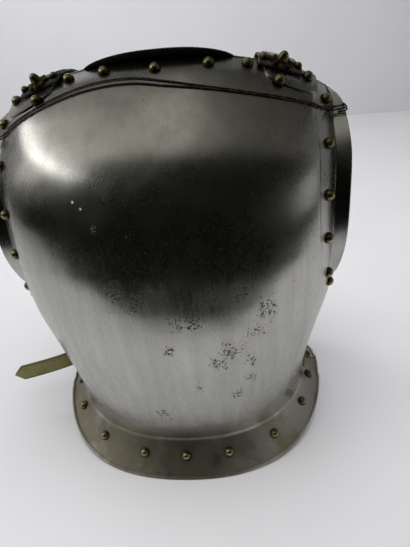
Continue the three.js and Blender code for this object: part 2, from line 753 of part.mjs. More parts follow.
// The long belt: from its stud at the wearer's right hip round the front, under the buckle's front bar,
// over its rear bar, and out to the pointed free end
function beltSheet() {
  const rows = [];
  [BELT_END_ANGLE, BELT_STUD_ANGLE, HIP_ANGLE].forEach((degrees) => rows.push(beltRow(BACK, -rad(degrees), BELT_LIFT)));
  const halfSteps = 10;
  const frontStart = -rad(HIP_ANGLE);
  const frontEnd = waistAngle(BREAST, BUCKLE_FRONT + BUCKLE_BAR);
  for (let k = -halfSteps; k <= halfSteps; k += 1) {
    const limit = k < 0 ? frontStart : frontEnd;
    rows.push(beltRow(BREAST, limit * Math.abs(k) / halfSteps, BELT_LIFT));
  }
  const rear = BUCKLE_FRONT - BUCKLE_LENGTH + BUCKLE_BAR;
  const over = BELT_LIFT + BUCKLE_WALL + 2 * SEAT_GAP;
  const onStrap = BELT_LIFT + BELT_LEATHER + SEAT_GAP;
  rows.push(beltRow(BREAST, waistAngle(BREAST, BUCKLE_FRONT - BUCKLE_BAR), BELT_LIFT));
  rows.push(beltRow(BREAST, waistAngle(BREAST, rear + BUCKLE_BAR), over));
  rows.push(beltRow(BREAST, waistAngle(BREAST, rear - BUCKLE_BAR), Math.max(over, onStrap)));
  const start = beltRow(BREAST, waistAngle(BREAST, rear - 3 * BUCKLE_BAR), onStrap + 0.5);
  const bend = BELT_TAIL_BEND;
  const heading = rad(BELT_TAIL_ANGLE);
  const steps = 8;
  const tailRow = (share, narrow) => {
    const turn = new THREE.Vector2(bend * 0.13, bend);
    const reach = new THREE.Vector2(BELT_TAIL * Math.cos(heading), BELT_TAIL * Math.sin(heading));
    const once = 2 * share * (1 - share) + share * share;
    const dx = turn.x * once + reach.x * share * share;
    const dy = turn.y * once + reach.y * share * share;
    return start.map((p) => {
      const z = lerp(start[1].z, p.z, narrow);
      return new THREE.Vector3(lerp(start[1].x, p.x, 1 - share) + dx, p.y + dy, z);
    });
  };
  const pointShare = 1 - BELT_POINT / (BELT_TAIL + bend) / 1.4;
  for (let k = 0; k <= steps; k += 1) rows.push(tailRow(pointShare * k / steps, 1));
  rows.push(tailRow(1, 0.15));
  return sheetBetween(offsetGrid(rows, BELT_LEATHER, fromAxis), rows);
}

// Short strap that holds the buckle, from its stud at the wearer's left hip to the buckle's rear bar
function buckleStrap() {
  const rear = BUCKLE_FRONT - BUCKLE_LENGTH + BUCKLE_BAR;
  const rows = [BELT_END_ANGLE, BELT_STUD_ANGLE, HIP_ANGLE].map((degrees) => beltRow(BACK, rad(degrees), BELT_LIFT));
  const end = waistAngle(BREAST, rear - BUCKLE_BAR / 2 - SEAT_GAP);
  rows.push(beltRow(BREAST, rad(HIP_ANGLE), BELT_LIFT));
  rows.push(beltRow(BREAST, end, BELT_LIFT));
  return sheetBetween(offsetGrid(rows, BELT_LEATHER, fromAxis), rows);
}

// Plain rectangular buckle frame
function buckleGeometry() {
  const rear = BUCKLE_FRONT - BUCKLE_LENGTH + BUCKLE_BAR;
  const tall = BELT_WIDTH / 2 + BUCKLE_CLEARANCE;
  const half = (BUCKLE_LENGTH - BUCKLE_BAR) / 2;
  const shape = new THREE.Shape();
  const outline = (path, length, height) => {
    path.moveTo(-length, -height);
    path.lineTo(length, -height);
    path.lineTo(length, height);
    path.lineTo(-length, height);
    path.closePath();
  };
  outline(shape, half + BUCKLE_BAR / 2, tall + BUCKLE_BAR);
  const hole = new THREE.Path();
  outline(hole, half - BUCKLE_BAR / 2, tall);
  shape.holes.push(hole);
  const frame = new THREE.ExtrudeGeometry(shape, { depth: BUCKLE_WALL, bevelEnabled: false });
  frame.translate(0, 0, -BUCKLE_WALL / 2);
  const overBelt = BELT_LIFT + BELT_LEATHER + 2 * SEAT_GAP + BUCKLE_WALL / 2;
  const front = waistPoint(BREAST, waistAngle(BREAST, BUCKLE_FRONT), 0, overBelt);
  const back = waistPoint(BREAST, waistAngle(BREAST, rear), 0, BELT_LIFT + BUCKLE_WALL / 2);
  const middleAngle = waistAngle(BREAST, (BUCKLE_FRONT + rear) / 2);
  const rise = waistPoint(BREAST, middleAngle, tall, 0).sub(waistPoint(BREAST, middleAngle, -tall, 0));
  const along = front.clone().sub(back).normalize();
  const outward = rise.clone().cross(along).normalize();
  if (outward.x < 0) outward.negate();
  const upward = outward.clone().cross(along).normalize();
  const centre = front.clone().add(back).multiplyScalar(0.5);
  const matrix = new THREE.Matrix4().makeBasis(along, upward, outward).setPosition(centre);
  return facingOut(mergeVerticesBare(frame.applyMatrix4(matrix)));
}

function mergeVerticesBare(geometry) {
  const bare = geometry.clone();
  bare.deleteAttribute('normal');
  bare.deleteAttribute('uv');
  return mergeVertices(bare, 1e-4);
}

// The hanging wire's route, with its own stations, close together where it hooks over an edge
class RouteCurve extends THREE.Curve {
  constructor(points) {
    super();
    this.points = points;
  }

  getPoint(t) {
    const place = t * (this.points.length - 1);
    const k = Math.min(Math.floor(place), this.points.length - 2);
    return this.points[k].clone().lerp(this.points[k + 1], place - k);
  }

  getPointAt(t) {
    return this.getPoint(t);
  }

  getTangentAt(t) {
    const k = Math.round(t * (this.points.length - 1));
    const next = this.points[Math.min(k + 1, this.points.length - 1)];
    return next.clone().sub(this.points[Math.max(k - 1, 0)]).normalize();
  }
}

// Moves a point that lies between two points of a route back onto the back plate's surface
function settle(p, clear) {
  let low = 0.7;
  let high = topOf(BACK);
  const side = Math.sign(p.x) || 1;
  for (let k = 0; k < 24; k += 1) {
    const middle = (low + high) / 2;
    if (restingPoint(BACK, p.x, middle, clear).z < p.z) low = middle;
    else high = middle;
  }
  const up = (low + high) / 2;
  const band = insetAngle(BACK, up, BAND_WIDTH);
  const onBand = Math.abs(angleAtX(BACK, p.x, up)) > band;
  return restingPoint(BACK, side * Math.abs(p.x), up, onBand ? clear - BAND_STEP * 0.5 : clear);
}

// Points over an arm flange, from the plate's face to the side of the arm opening
function hookPoints(side, up) {
  const station = armStation(BACK, side, up);
  const clear = WIRE_DIAMETER / 2 + WIRE_GAP;
  const at = (past, high) => station.point.clone()
    .addScaledVector(station.along, past)
    .addScaledVector(station.turn, high);
  const face = -1.15 * BACK.wall - clear;
  const behind = clear;
  const crest = station.width + clear;
  return [
    at(face - 1.2, clear + 1.2), at(face, clear + 3), at(face, station.width - 0.5),
    at(face * 0.62, crest + 0.1), at(behind * 0.2, crest + 0.1), at(behind, station.width - 0.8),
    at(behind, station.width * 0.45),
  ];
}

function hangingWire() {
  const clear = WIRE_DIAMETER / 2 + WIRE_GAP;
  const strand = (shift) => {
    const control = WIRE_ROUTE.map(({ out, up }) => {
      const height = up + shift / PLATE_HEIGHT;
      return restingPoint(BACK, -out * SHOULDER_REACH, height, clear);
    });
    return new THREE.CatmullRomCurve3(control).getSpacedPoints(18).map((p) => settle(p, clear));
  };
  const upper = strand(WIRE_SPREAD / 2);
  const lower = strand(-WIRE_SPREAD / 2).reverse();
  const first = WIRE_ROUTE[0].up;
  const last = WIRE_ROUTE[WIRE_ROUTE.length - 1].up;
  const spread = WIRE_SPREAD / 2 / PLATE_HEIGHT;
  const startHook = hookPoints(-1, first + spread).reverse();
  const farHook = hookPoints(1, last + spread);
  const backHook = hookPoints(1, last - spread).reverse();
  const route = [...startHook, ...upper, ...farHook, ...backHook, ...lower.slice(0, -2)];
  const section = new THREE.Shape();
  const sides = 6;
  for (let k = 0; k < sides; k += 1) {
    const a = 2 * Math.PI * k / sides;
    const x = WIRE_DIAMETER / 2 * Math.cos(a);
    const y = WIRE_DIAMETER / 2 * Math.sin(a);
    if (k === 0) section.moveTo(x, y);
    else section.lineTo(x, y);
  }
  section.closePath();
  const options = { steps: route.length - 1, extrudePath: new RouteCurve(route), bevelEnabled: false };
  return facingOut(mergeVerticesBare(new THREE.ExtrudeGeometry(section, options)));
}

const material = (look) => new THREE.MeshStandardMaterial(look);
const whole = new THREE.Group();
whole.position.y = rimLand(BACK) / 2 - flangePoint(BACK, 0, 1).y;

function addPiece(name, geometry, look) {
  const piece = geometry.index ? geometry : mergeVertices(geometry);
  piece.computeVertexNormals();
  const mesh = new THREE.Mesh(piece, material(look));
  mesh.name = name;
  whole.add(mesh);
  return mesh;
}

// The breast plate's rivets are one solid with it
function breastSolid() {
  return rivetSeats(BREAST).reduce((solid, { point, normal }) => {
    const sunk = point.clone().addScaledVector(normal, -2 * RIVET_SEAT_GAP);
    const head = domeGeometry(RIVET_DIAMETER, RIVET_HEIGHT, 0, 0, 6);
    return solid.add(toSolid(placedAlong(head, sunk, normal)));
  }, plateSolid(BREAST));
}

const carriers = [
  addPiece('back_plate', fromSolid(plateSolid(BACK)), STEEL),
  addPiece('end_plate_left', endPlate(1), STEEL),
  addPiece('end_plate_right', endPlate(-1), STEEL),
];
addPiece('breast_plate', fromSolid(breastSolid()), STEEL);
rivetSeats(BACK).forEach(({ name, point, normal, carrier }) => {
  const head = domeGeometry(RIVET_DIAMETER, RIVET_HEIGHT, RIVET_NECK, 0.6, 6);
  const seat = seatedOn(carriers[carrier], { point, normal }, RIVET_NECK, RIVET_SEAT_GAP);
  addPiece(`rivet_${name}`, placedAlong(head, seat, normal), BRASS);
});
[1, -1].forEach((side) => {
  const hand = handOf(side);
  const onStrap = STRAP_BACK_LIFT + STRAP_LEATHER + RIVET_SEAT_GAP;
  addPiece(`shoulder_strap_${hand}`, shoulderStrap(side), BROWN_LEATHER);
  addPiece(`strap_facing_${hand}`, strapFacing(side), BRASS);
  const seat = shoulderSeat(side, 0, ROSETTE_PLACE, onStrap);
  addPiece(`rosette_${hand}`, placedAlong(rosetteGeometry(), seat.point, seat.normal), BRASS);
  [-1, 1].forEach((end) => {
    const sideways = end * (STRAP_WIDTH / 2 - SMALL_RIVET_DIAMETER / 2 - 0.3);
    const place = shoulderSeat(side, sideways, SMALL_RIVET_DIAMETER * 0.7, onStrap);
    const head = domeGeometry(SMALL_RIVET_DIAMETER, SMALL_RIVET_HEIGHT, SMALL_RIVET_DIAMETER / 4, 0.5, 8);
    const name = `strap_rivet_${end > 0 ? 'outer' : 'inner'}_${hand}`;
    addPiece(name, placedAlong(head, place.point, place.normal), BRASS);
  });
  const studUp = STRAP_FRONT_END + 0.035;
  const studAngle = angleAtX(BREAST, side * STRAP_PLACE, studUp);
  const studNormal = formNormal(BREAST, studAngle, studUp);
  const studLift = STRAP_LEATHER + FACING_WALL + SEAT_GAP + 2 * RIVET_SEAT_GAP;
  const stud = domeGeometry(STUD_DIAMETER, STUD_HEIGHT, STUD_DIAMETER / 4, 2, 10);
  const studPoint = formPoint(BREAST, studAngle, studUp).addScaledVector(studNormal, studLift);
  addPiece(`strap_stud_${hand}`, placedAlong(stud, studPoint, studNormal), BRASS);
});
addPiece('belt', beltSheet(), BUFF_LEATHER);
addPiece('buckle_strap', buckleStrap(), BUFF_LEATHER);
addPiece('buckle', buckleGeometry(), BRASS);
[1, -1].forEach((side) => {
  const angle = side * rad(BELT_STUD_ANGLE);
  const lift = BELT_LIFT + BELT_LEATHER + SEAT_GAP;
  const normal = waistPoint(BACK, angle, 0, 1).sub(waistPoint(BACK, angle, 0, 0)).normalize();
  const stud = domeGeometry(BELT_STUD_DIAMETER, BELT_STUD_HEIGHT, BELT_STUD_DIAMETER / 4, 0.6, 8);
  addPiece(`belt_stud_${handOf(side)}`, placedAlong(stud, waistPoint(BACK, angle, 0, lift), normal), IRON);
});
addPiece('hanging_wire', hangingWire(), IRON);

export default whole;
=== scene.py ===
# %% [markdown]
# # A cavalry cuirass, seen from behind
# The object is the body armour of a 19th-century horseman: a back plate and a breast plate of polished
# steel. They are tied together over the shoulders by brass-faced leather straps and round the waist by
# a belt. It stands by itself on its flared lower rim. The lesson makes the plates as fine sheets from a
# short table of sections, sets their rivets with Geometry Nodes, and gives steel, brass, leather and
# wire the worn finish that the photograph shows.

# %% Start from the frame
import math

import bpy
import numpy as np
from mathutils import Matrix, Vector


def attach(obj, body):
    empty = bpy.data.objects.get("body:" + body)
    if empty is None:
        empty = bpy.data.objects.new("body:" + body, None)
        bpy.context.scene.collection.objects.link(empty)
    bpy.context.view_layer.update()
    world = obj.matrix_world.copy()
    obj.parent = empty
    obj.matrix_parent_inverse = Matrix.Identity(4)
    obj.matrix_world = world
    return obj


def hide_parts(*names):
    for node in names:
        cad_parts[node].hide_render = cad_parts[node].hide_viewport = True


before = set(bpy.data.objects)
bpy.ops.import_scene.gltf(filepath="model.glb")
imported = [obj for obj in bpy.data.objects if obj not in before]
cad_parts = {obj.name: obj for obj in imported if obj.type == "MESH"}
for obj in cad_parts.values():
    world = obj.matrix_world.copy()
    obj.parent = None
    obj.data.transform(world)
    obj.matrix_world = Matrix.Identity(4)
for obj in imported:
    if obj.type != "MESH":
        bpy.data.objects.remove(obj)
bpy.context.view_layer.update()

MM = 0.001
print("nodes in the frame:", len(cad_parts))

# %% [markdown]
# ## The camera
# The photograph was taken from a little above the neck, close by, looking down the back. The camera was
# fitted to the rivets' places in the picture, for several lenses in turn. They fit almost equally well,
# so lens and distance are estimates. Real cameras are seldom level, so it has a roll.

# %% Camera
FOCAL_PIXELS = 462
PHOTO_HEIGHT = 547
SENSOR = 36
YAW, PITCH, ROLL = (math.radians(d) for d in (-6.2, 27.6, -5.5))


def turned_round(v):
    """The same direction for a camera that stands behind the object instead of before it."""
    return Vector((-v.x, -v.y, v.z))


forward = Vector((math.sin(YAW) * math.cos(PITCH), math.cos(YAW) * math.cos(PITCH), -math.sin(PITCH)))
right = forward.cross(Vector((0, 0, 1))).normalized()
upward = right.cross(forward)
rolled_right = right * math.cos(ROLL) + upward * math.sin(ROLL)
rolled_up = upward * math.cos(ROLL) - right * math.sin(ROLL)
lens = bpy.data.cameras.new("camera")
lens.sensor_fit = "VERTICAL"
lens.sensor_height = SENSOR
lens.lens = FOCAL_PIXELS / PHOTO_HEIGHT * SENSOR
camera = bpy.data.objects.new("camera", lens)
bpy.context.scene.collection.objects.link(camera)
axes = Matrix([turned_round(v) for v in (rolled_right, rolled_up, -forward)]).transposed().to_4x4()
camera.matrix_world = Matrix.Translation((-0.082, 0.354, 0.450)) @ axes
bpy.context.scene.camera = camera
print(f"lens {lens.lens:.1f} mm")

# %% [markdown]
# ## Helpers for colour and nodes
# Colours are written as the sRGB hex values that one reads off a screen. Blender works in linear light,
# so one function turns them. One more adds a node with its settings and its links.

# %% Colour and node helpers


def linear(hex_colour):
    """An sRGB hex colour as the linear RGBA that Blender's sockets want."""
    parts = [int(hex_colour[i:i + 2], 16) / 255 for i in (1, 3, 5)]
    return [p / 12.92 if p <= 0.04045 else ((p + 0.055) / 1.055) ** 2.4 for p in parts] + [1.0]


def add_node(tree, kind, inputs=None, **settings):
    """Adds one node; inputs maps a socket's name or number to a value or to another node's socket."""
    node = tree.nodes.new(kind)
    for name, value in settings.items():
        setattr(node, name, value)
    for key, value in (inputs or {}).items():
        if isinstance(value, bpy.types.NodeSocket):
            tree.links.new(value, node.inputs[key])
        else:
            node.inputs[key].default_value = value
    return node


def per_metre(millimetres):
    """Texture scale whose pattern repeats about once in that many millimetres."""
    return 1000 / millimetres


def new_material(name):
    """An empty material with its output and one Principled shader: (tree, shader)."""
    made = bpy.data.materials.new(name)
    made.use_nodes = True
    tree = made.node_tree
    tree.nodes.clear()
    shader = tree.nodes.new("ShaderNodeBsdfPrincipled")
    add_node(tree, "ShaderNodeOutputMaterial", {"Surface": shader.outputs["BSDF"]})
    return made, tree, shader


def mixed(tree, factor, first, second, blend="MIX"):
    """Colour mix: first where the factor is 0, second where it is 1."""
    return add_node(tree, "ShaderNodeMix", {0: factor, 6: first, 7: second}, data_type="RGBA",
                    blend_type=blend).outputs[2]


def ranged(tree, value, low, high, to_low=0.0, to_high=1.0):
    """A value stretched from one range to another, and held at its ends."""
    return add_node(tree, "ShaderNodeMapRange", {0: value, 1: low, 2: high, 3: to_low, 4: to_high}).outputs[0]


def combined(tree, operation, first, second):
    """Arithmetic on two values."""
    return add_node(tree, "ShaderNodeMath", {0: first, 1: second}, operation=operation).outputs[0]


def noise(tree, vector, size_mm, detail=3.0, roughness=0.5, distortion=0.0):
    """Noise whose lumps are about size_mm across."""
    sockets = {"Vector": vector, "Scale": per_metre(size_mm), "Detail": detail, "Roughness": roughness,
               "Distortion": distortion}
    return add_node(tree, "ShaderNodeTexNoise", sockets).outputs["Fac"]


# %% [markdown]
# ## Old brass
# Rivets and rosettes are yellow brass. Hands and cloths keep their tops bright, while the hollows and the
# foot of each dome turn brown. A vertex attribute called "high" says how far up a dome a point is, so the
# wear sits where a cloth would reach.

# %% Brass


def brass_material(name, bright, brown, worn_from, worn_to):
    """Tarnished brass that is worn bright where the attribute "high" is large."""
    made, tree, shader = new_material(name)
    place = tree.nodes.new("ShaderNodeTexCoord").outputs["Object"]
    patches = noise(tree, place, 5, 4.0, 0.6)
    grain = noise(tree, place, 0.8, 2.0)
    high = add_node(tree, "ShaderNodeAttribute", attribute_name="high").outputs["Fac"]
    reach = combined(tree, "ADD", high, ranged(tree, patches, 0.3, 0.7, -0.25, 0.25))
    wear = ranged(tree, reach, worn_from, worn_to)
    colour = mixed(tree, wear, linear(brown), linear(bright))
    colour = mixed(tree, ranged(tree, grain, 0.6, 0.8, 0.0, 0.3), colour, linear("#4a3a22"))
    tree.links.new(colour, shader.inputs["Base Color"])
    tree.links.new(ranged(tree, wear, 0, 1, 0.5, 0.27), shader.inputs["Roughness"])
    bump = add_node(tree, "ShaderNodeBump", {"Height": patches, "Strength": 0.4, "Distance": 0.25 * MM})
    tree.links.new(bump.outputs[0], shader.inputs["Normal"])
    shader.inputs["Metallic"].default_value = 1.0
    return made


rivet_brass = brass_material("worn_rivet_brass", "#979069", "#433d28", 0.2, 0.9)
cast_brass = brass_material("old_cast_brass", "#8b8257", "#433b26", 0.3, 1.0)
print("brass:", rivet_brass.name, "and", cast_brass.name)

# %% [markdown]
# ## Leather and wire
# Vegetable-tanned leather has a fine pebble grain, darker where it bends and along its cut edges. The
# attribute "edge" is 0 in the middle of a strap and 1 at its edges. The wire is plain iron wire that has
# gone dark, with a little shine left.

# %% Leather and iron


def leather_material(name, middle, dark, grain_mm, roughness):
    """Strap leather with a pebble grain and soiled edges."""
    made, tree, shader = new_material(name)
    place = tree.nodes.new("ShaderNodeTexCoord").outputs["Object"]
    pebbles = add_node(tree, "ShaderNodeTexVoronoi", {"Vector": place, "Scale": per_metre(grain_mm)})
    patches = noise(tree, place, 16, 4.0, 0.6)
    creases = noise(tree, place, 3.5, 3.0, 0.6)
    edge = add_node(tree, "ShaderNodeAttribute", attribute_name="edge").outputs["Fac"]
    soiled = combined(tree, "ADD", ranged(tree, edge, 0.72, 1.0, 0.0, 0.75),
                      ranged(tree, patches, 0.5, 0.75, 0.0, 0.4))
    colour = mixed(tree, soiled, linear(middle), linear(dark))
    colour = mixed(tree, ranged(tree, creases, 0.55, 0.7, 0.0, 0.35), colour, linear(dark))
    tree.links.new(colour, shader.inputs["Base Color"])
    tree.links.new(ranged(tree, patches, 0.3, 0.7, roughness - 0.1, roughness + 0.12),
                   shader.inputs["Roughness"])
    bump = add_node(tree, "ShaderNodeBump", {"Height": pebbles.outputs["Distance"], "Strength": 0.5,
                                             "Distance": 0.25 * MM})
    bump = add_node(tree, "ShaderNodeBump", {"Height": creases, "Strength": 0.6, "Distance": 0.5 * MM,
                                             "Normal": bump.outputs[0]})
    tree.links.new(bump.outputs[0], shader.inputs["Normal"])
    return made


def iron_material():
    """Darkened iron wire."""
    made, tree, shader = new_material("dark_iron")
    place = tree.nodes.new("ShaderNodeTexCoord").outputs["Object"]
    rust = noise(tree, place, 4, 4.0, 0.6)
    colour = mixed(tree, ranged(tree, rust, 0.4, 0.65), linear("#57534e"), linear("#4a3426"))
    tree.links.new(colour, shader.inputs["Base Color"])
    tree.links.new(ranged(tree, rust, 0.3, 0.7, 0.32, 0.6), shader.inputs["Roughness"])
    tree.links.new(ranged(tree, rust, 0.5, 0.7, 1.0, 0.3), shader.inputs["Metallic"])
    return made


buff_leather = leather_material("buff_leather", "#97915a", "#4d4428", 0.9, 0.6)
brown_leather = leather_material("brown_leather", "#29221d", "#15110f", 0.9, 0.5)
dark_iron = iron_material()
print("leather:", buff_leather.name, brown_leather.name, "iron:", dark_iron.name)

# %% [markdown]
# ## The form of a plate
# A plate could be sculpted, or beaten up from a disc with a cloth simulation. A table of sections is
# surer: at each height it says how wide and how deep the body is and how far round the plate reaches.
# Between the rows a smooth cubic runs, and each section is a rounded oblong. The solids that carry the
# collision use the same table, so the fine sheet lies on them.

# %% Sections of the two plates
HALF_WIDTH, WAIST_HEIGHT, PLATE_HEIGHT = 183, 34, 400
HIP_RISE, SHOULDER_DROP, SHOULDER_REACH, SHOULDER_CURVE = 16, 34, 0.875 * HALF_WIDTH, 2.4
FLARE, RIM_HIP_RISE, REST_ANGLE = 29, 46, 20
BAND_WIDTH, BAND_STEP, BAND_FALL, STEP_WIDTH = 24, 1.4, 2.5, 4
ARM_FLANGE, ARM_FLANGE_START, ARM_FLANGE_LEAN = 15.5, 0.352, 22
SEAM_GAP = 0.4
RIDGE_ANGLE = 0.5
# up, wide, deep: shares of PLATE_HEIGHT, HALF_WIDTH and the plate's depth; edge: degrees from the middle
COLUMNS = {"up": 0, "wide": 1, "deep": 2, "edge": 3}
BACK = {
    "facing": 1, "depth": 152, "squareness": 2.25, "ridge": 0, "wall": 1.6, "neck_shift": 4.5,
    "sections": np.array([
        (0.0, 0.8, 0.85, 90), (0.07, 0.812, 0.88, 90), (0.16, 0.845, 0.925, 90), (0.26, 0.9, 0.97, 90),
        (0.34, 0.95, 0.995, 90), (0.355, 0.958, 0.998, 87), (0.375, 0.97, 1.0, 80), (0.41, 0.985, 1.0, 73),
        (0.47, 1.01, 0.995, 66.5), (0.56, 1.045, 0.975, 61), (0.68, 1.065, 0.905, 59),
        (0.8, 1.06, 0.77, 60.7), (0.9, 1.015, 0.565, 65.6), (0.96, 0.97, 0.375, 76),
        (0.995, 0.93, 0.18, 84)]),
}
BREAST = {
    "facing": -1, "depth": 160, "squareness": 2.05, "ridge": 6, "wall": 2.8, "neck_shift": 0,
    "sections": np.array([
        (0.0, 0.8, 0.84, 90), (0.07, 0.812, 0.89, 90), (0.16, 0.845, 0.945, 90), (0.26, 0.9, 0.985, 90),
        (0.34, 0.95, 1.0, 90), (0.355, 0.958, 1.0, 87), (0.375, 0.967, 0.998, 79), (0.41, 0.98, 0.99, 72),
        (0.47, 0.99, 0.97, 65.5), (0.56, 1.0, 0.935, 60), (0.68, 1.0, 0.88, 57), (0.8, 0.98, 0.8, 58),
        (0.88, 0.95, 0.72, 61), (0.94, 0.9, 0.64, 65)]),
}


def section_value(plate, up, column):
    """Smooth value of a section column at a share of the height; up may be an array."""
    table = plate["sections"]
    ups, values = table[:, 0], table[:, COLUMNS[column]]
    last = len(ups) - 1
    before = np.maximum(np.arange(last + 1) - 1, 0)
    after = np.minimum(np.arange(last + 1) + 1, last)
    slopes = (values[after] - values[before]) / (ups[after] - ups[before])
    up = np.asarray(up, float)
    k = np.clip(np.searchsorted(ups, up, side="right") - 1, 0, last - 1)
    span = ups[k + 1] - ups[k]
    s = (up - ups[k]) / span
    return ((2 * s**3 - 3 * s**2 + 1) * values[k] + (s**3 - 2 * s**2 + s) * span * slopes[k]
            + (3 * s**2 - 2 * s**3) * values[k + 1] + (s**3 - s**2) * span * slopes[k + 1])


def top_of(plate):
    """Share of the height at which the plate ends."""
    return plate["sections"][-1, 0]


def form_point(plate, angle, up):
    """Points of the outer form in mm. angle: radians from the middle, signed; up: share of the height."""
    angle, up = np.broadcast_arrays(np.asarray(angle, float), np.asarray(up, float))
    a = np.abs(angle)
    power = 2 / plate["squareness"]
    x = HALF_WIDTH * section_value(plate, up, "wide") * np.sin(a) ** power
    ridge = plate["ridge"] * np.maximum(0, 1 - a / RIDGE_ANGLE) ** 1.6
    y = plate["depth"] * section_value(plate, up, "deep") * np.maximum(0, np.cos(a)) ** power + ridge
    z = (WAIST_HEIGHT + PLATE_HEIGHT * up + HIP_RISE * (1 - up) ** 3 * (1 - np.cos(a))
         - SHOULDER_DROP * up**4 * (x / SHOULDER_REACH) ** SHOULDER_CURVE)
    shift = plate["neck_shift"] * up**10 * np.maximum(0, 1 - (x / SHOULDER_REACH) ** 2)
    return np.stack([x * np.sign(angle) - shift, y * plate["facing"], z], axis=-1)


def unit(vectors):
    """Vectors at length one."""
    return vectors / np.maximum(np.linalg.norm(vectors, axis=-1, keepdims=True), 1e-9)


def form_normal(plate, angle, up):
    """Outward normals of the form."""
    angle, up = np.broadcast_arrays(np.asarray(angle, float), np.asarray(up, float))
    h = 0.004
    limit = math.pi / 2
    rise = (form_point(plate, angle, np.minimum(up + h, top_of(plate)))
            - form_point(plate, angle, np.maximum(up - h, 0)))
    across = (form_point(plate, np.minimum(angle + h, limit), up)
              - form_point(plate, np.maximum(angle - h, -limit), up))
    return unit(np.cross(across, rise)) * -plate["facing"]


def edge_angle(plate, up):
    """Angle at which the plate ends at that height."""
    return np.radians(section_value(plate, up, "edge"))


def inset_angle(plate, up, distance):
    """Angle that lies a distance in mm inside the edge."""
    edge = edge_angle(plate, up)
    probe = 0.02
    chord = np.linalg.norm(form_point(plate, edge, up) - form_point(plate, edge - probe, up), axis=-1)
    return edge - distance * probe / chord


def angle_at_x(plate, x, up):
    """Angle at which the form is x mm from the middle plane."""
    share = np.clip(np.abs(x) / (HALF_WIDTH * section_value(plate, up, "wide")), 0, 1)
    return np.sign(x) * np.arcsin(share ** (plate["squareness"] / 2))


def sunk_at(plate, angle, up):
    """How far the plate lies below the form: a step at the crease, then a fall towards the arm edge."""
    panel, crease = (inset_angle(plate, up, inset) for inset in (BAND_WIDTH + STEP_WIDTH, BAND_WIDTH))
    s = np.clip((np.abs(angle) - panel) / (crease - panel), 0, 1)
    t = np.clip((up - ARM_FLANGE_START + 0.05) / 0.12, 0, 1)
    past = np.clip((np.abs(angle) - crease) / (edge_angle(plate, up) - crease), 0, 1)
    return BAND_STEP * s * s * (3 - 2 * s) + BAND_FALL * t * t * (3 - 2 * t) * past


def flange_point(plate, angle, share):
    """Points of the lower flange; share is 0 at the waist and 1 at the rim."""
    angle, share = np.broadcast_arrays(np.asarray(angle, float), np.asarray(share, float))
    a = np.abs(angle)
    root = form_point(plate, angle, 0)
    flare = FLARE * (1 - 0.25 * np.sin(a) ** 4) * share**1.25
    rim = RIM_HIP_RISE * np.maximum(0, math.cos(math.radians(REST_ANGLE)) - np.cos(a)) ** 1.2
    return np.stack([root[..., 0] + np.sin(angle) * flare,
                     root[..., 1] + np.cos(a) * flare * plate["facing"],
                     root[..., 2] * (1 - share) + rim * share], axis=-1)


# Plates are worked out round the seam plane y = 0 and then moved so that the rim's land is at y = 0
TO_FRAME = np.array([0, BACK["wall"] * 1.35 / 2 - flange_point(BACK, 0.0, 1.0)[1], 0])
neck = form_point(BACK, 0.0, top_of(BACK))
print(f"neck edge {neck[2]:.0f} mm above the floor; seam plane at y = {TO_FRAME[1]:.1f} mm")

# %% [markdown]
# ## Polished steel
# Fine upright scratches draw every reflection out sideways, so the metal is anisotropic: its tangent runs
# round the upright axis. Long soft waves bend the reflections. Small rust pits stand in clusters, brown
# tarnish lies on the flange, and a darker brown patch sits on the flange's middle. The arm flanges get a
# band of painted dark reflection part way up. The places of pits and scars are shares of the plate's own
# width and height, and the script finds the surface there. The metal keeps its default IOR; colour,
# roughness and bump all come from the same few patterns, so they agree.

# %% Steel
SCRATCH_WIDTH_MM = 1.4
SCRATCH_LENGTH_MM = 60
WAVE_MM = 46
PIT_MM = 2.2
# Clusters of pits on the back plate. out: share of HALF_WIDTH, + is the wearer's right; up: share of
# PLATE_HEIGHT; then the radius in mm
PIT_CLUSTERS = (
    (-0.13, 0.49, 17), (0.25, 0.50, 17), (0.54, 0.44, 18), (0.34, 0.34, 21), (0.05, 0.44, 14),
    (0.01, 0.36, 10), (0.36, 0.17, 13), (-0.10, 0.11, 12), (0.44, 0.29, 12), (-0.30, 0.67, 6),
    (-0.24, 0.52, 19), (-0.03, 0.52, 17), (0.14, 0.44, 17), (0.40, 0.50, 16), (0.47, 0.39, 14),
    (0.25, 0.30, 15), (0.13, 0.22, 11), (0.43, 0.23, 11))
# Small pale scars, same columns
SCARS = ((-0.40, 0.73, 1.7), (-0.36, 0.715, 1.4))
# Darker brown patch on the middle of the flange: x, y, z and radius, mm in the frame
RIM_DARK_PATCH = ((-5, -12, 14, 95),)


def on_back(places):
    """Spots (x, y, z, radius) in the frame for places on the back plate."""
    spots = []
    for out, up, radius in places:
        x = -out * HALF_WIDTH
        point = form_point(BACK, angle_at_x(BACK, x, up), up) + TO_FRAME
        spots.append((*map(float, point), radius))
    return spots


def near_any(tree, place, spots, wobble):
    """1 inside the given spots, falling to 0 at their radius; wobble in metres makes their outline ragged."""
    most = None
    for x, y, z, radius in spots:
        middle = (x * MM, y * MM, z * MM)
        ends = {0: place, 1: middle}
        away = add_node(tree, "ShaderNodeVectorMath", ends, operation="DISTANCE").outputs["Value"]
        inside = ranged(tree, combined(tree, "ADD", away, wobble), radius * MM, radius * MM * 0.3)
        most = inside if most is None else combined(tree, "MAXIMUM", most, inside)
    return most


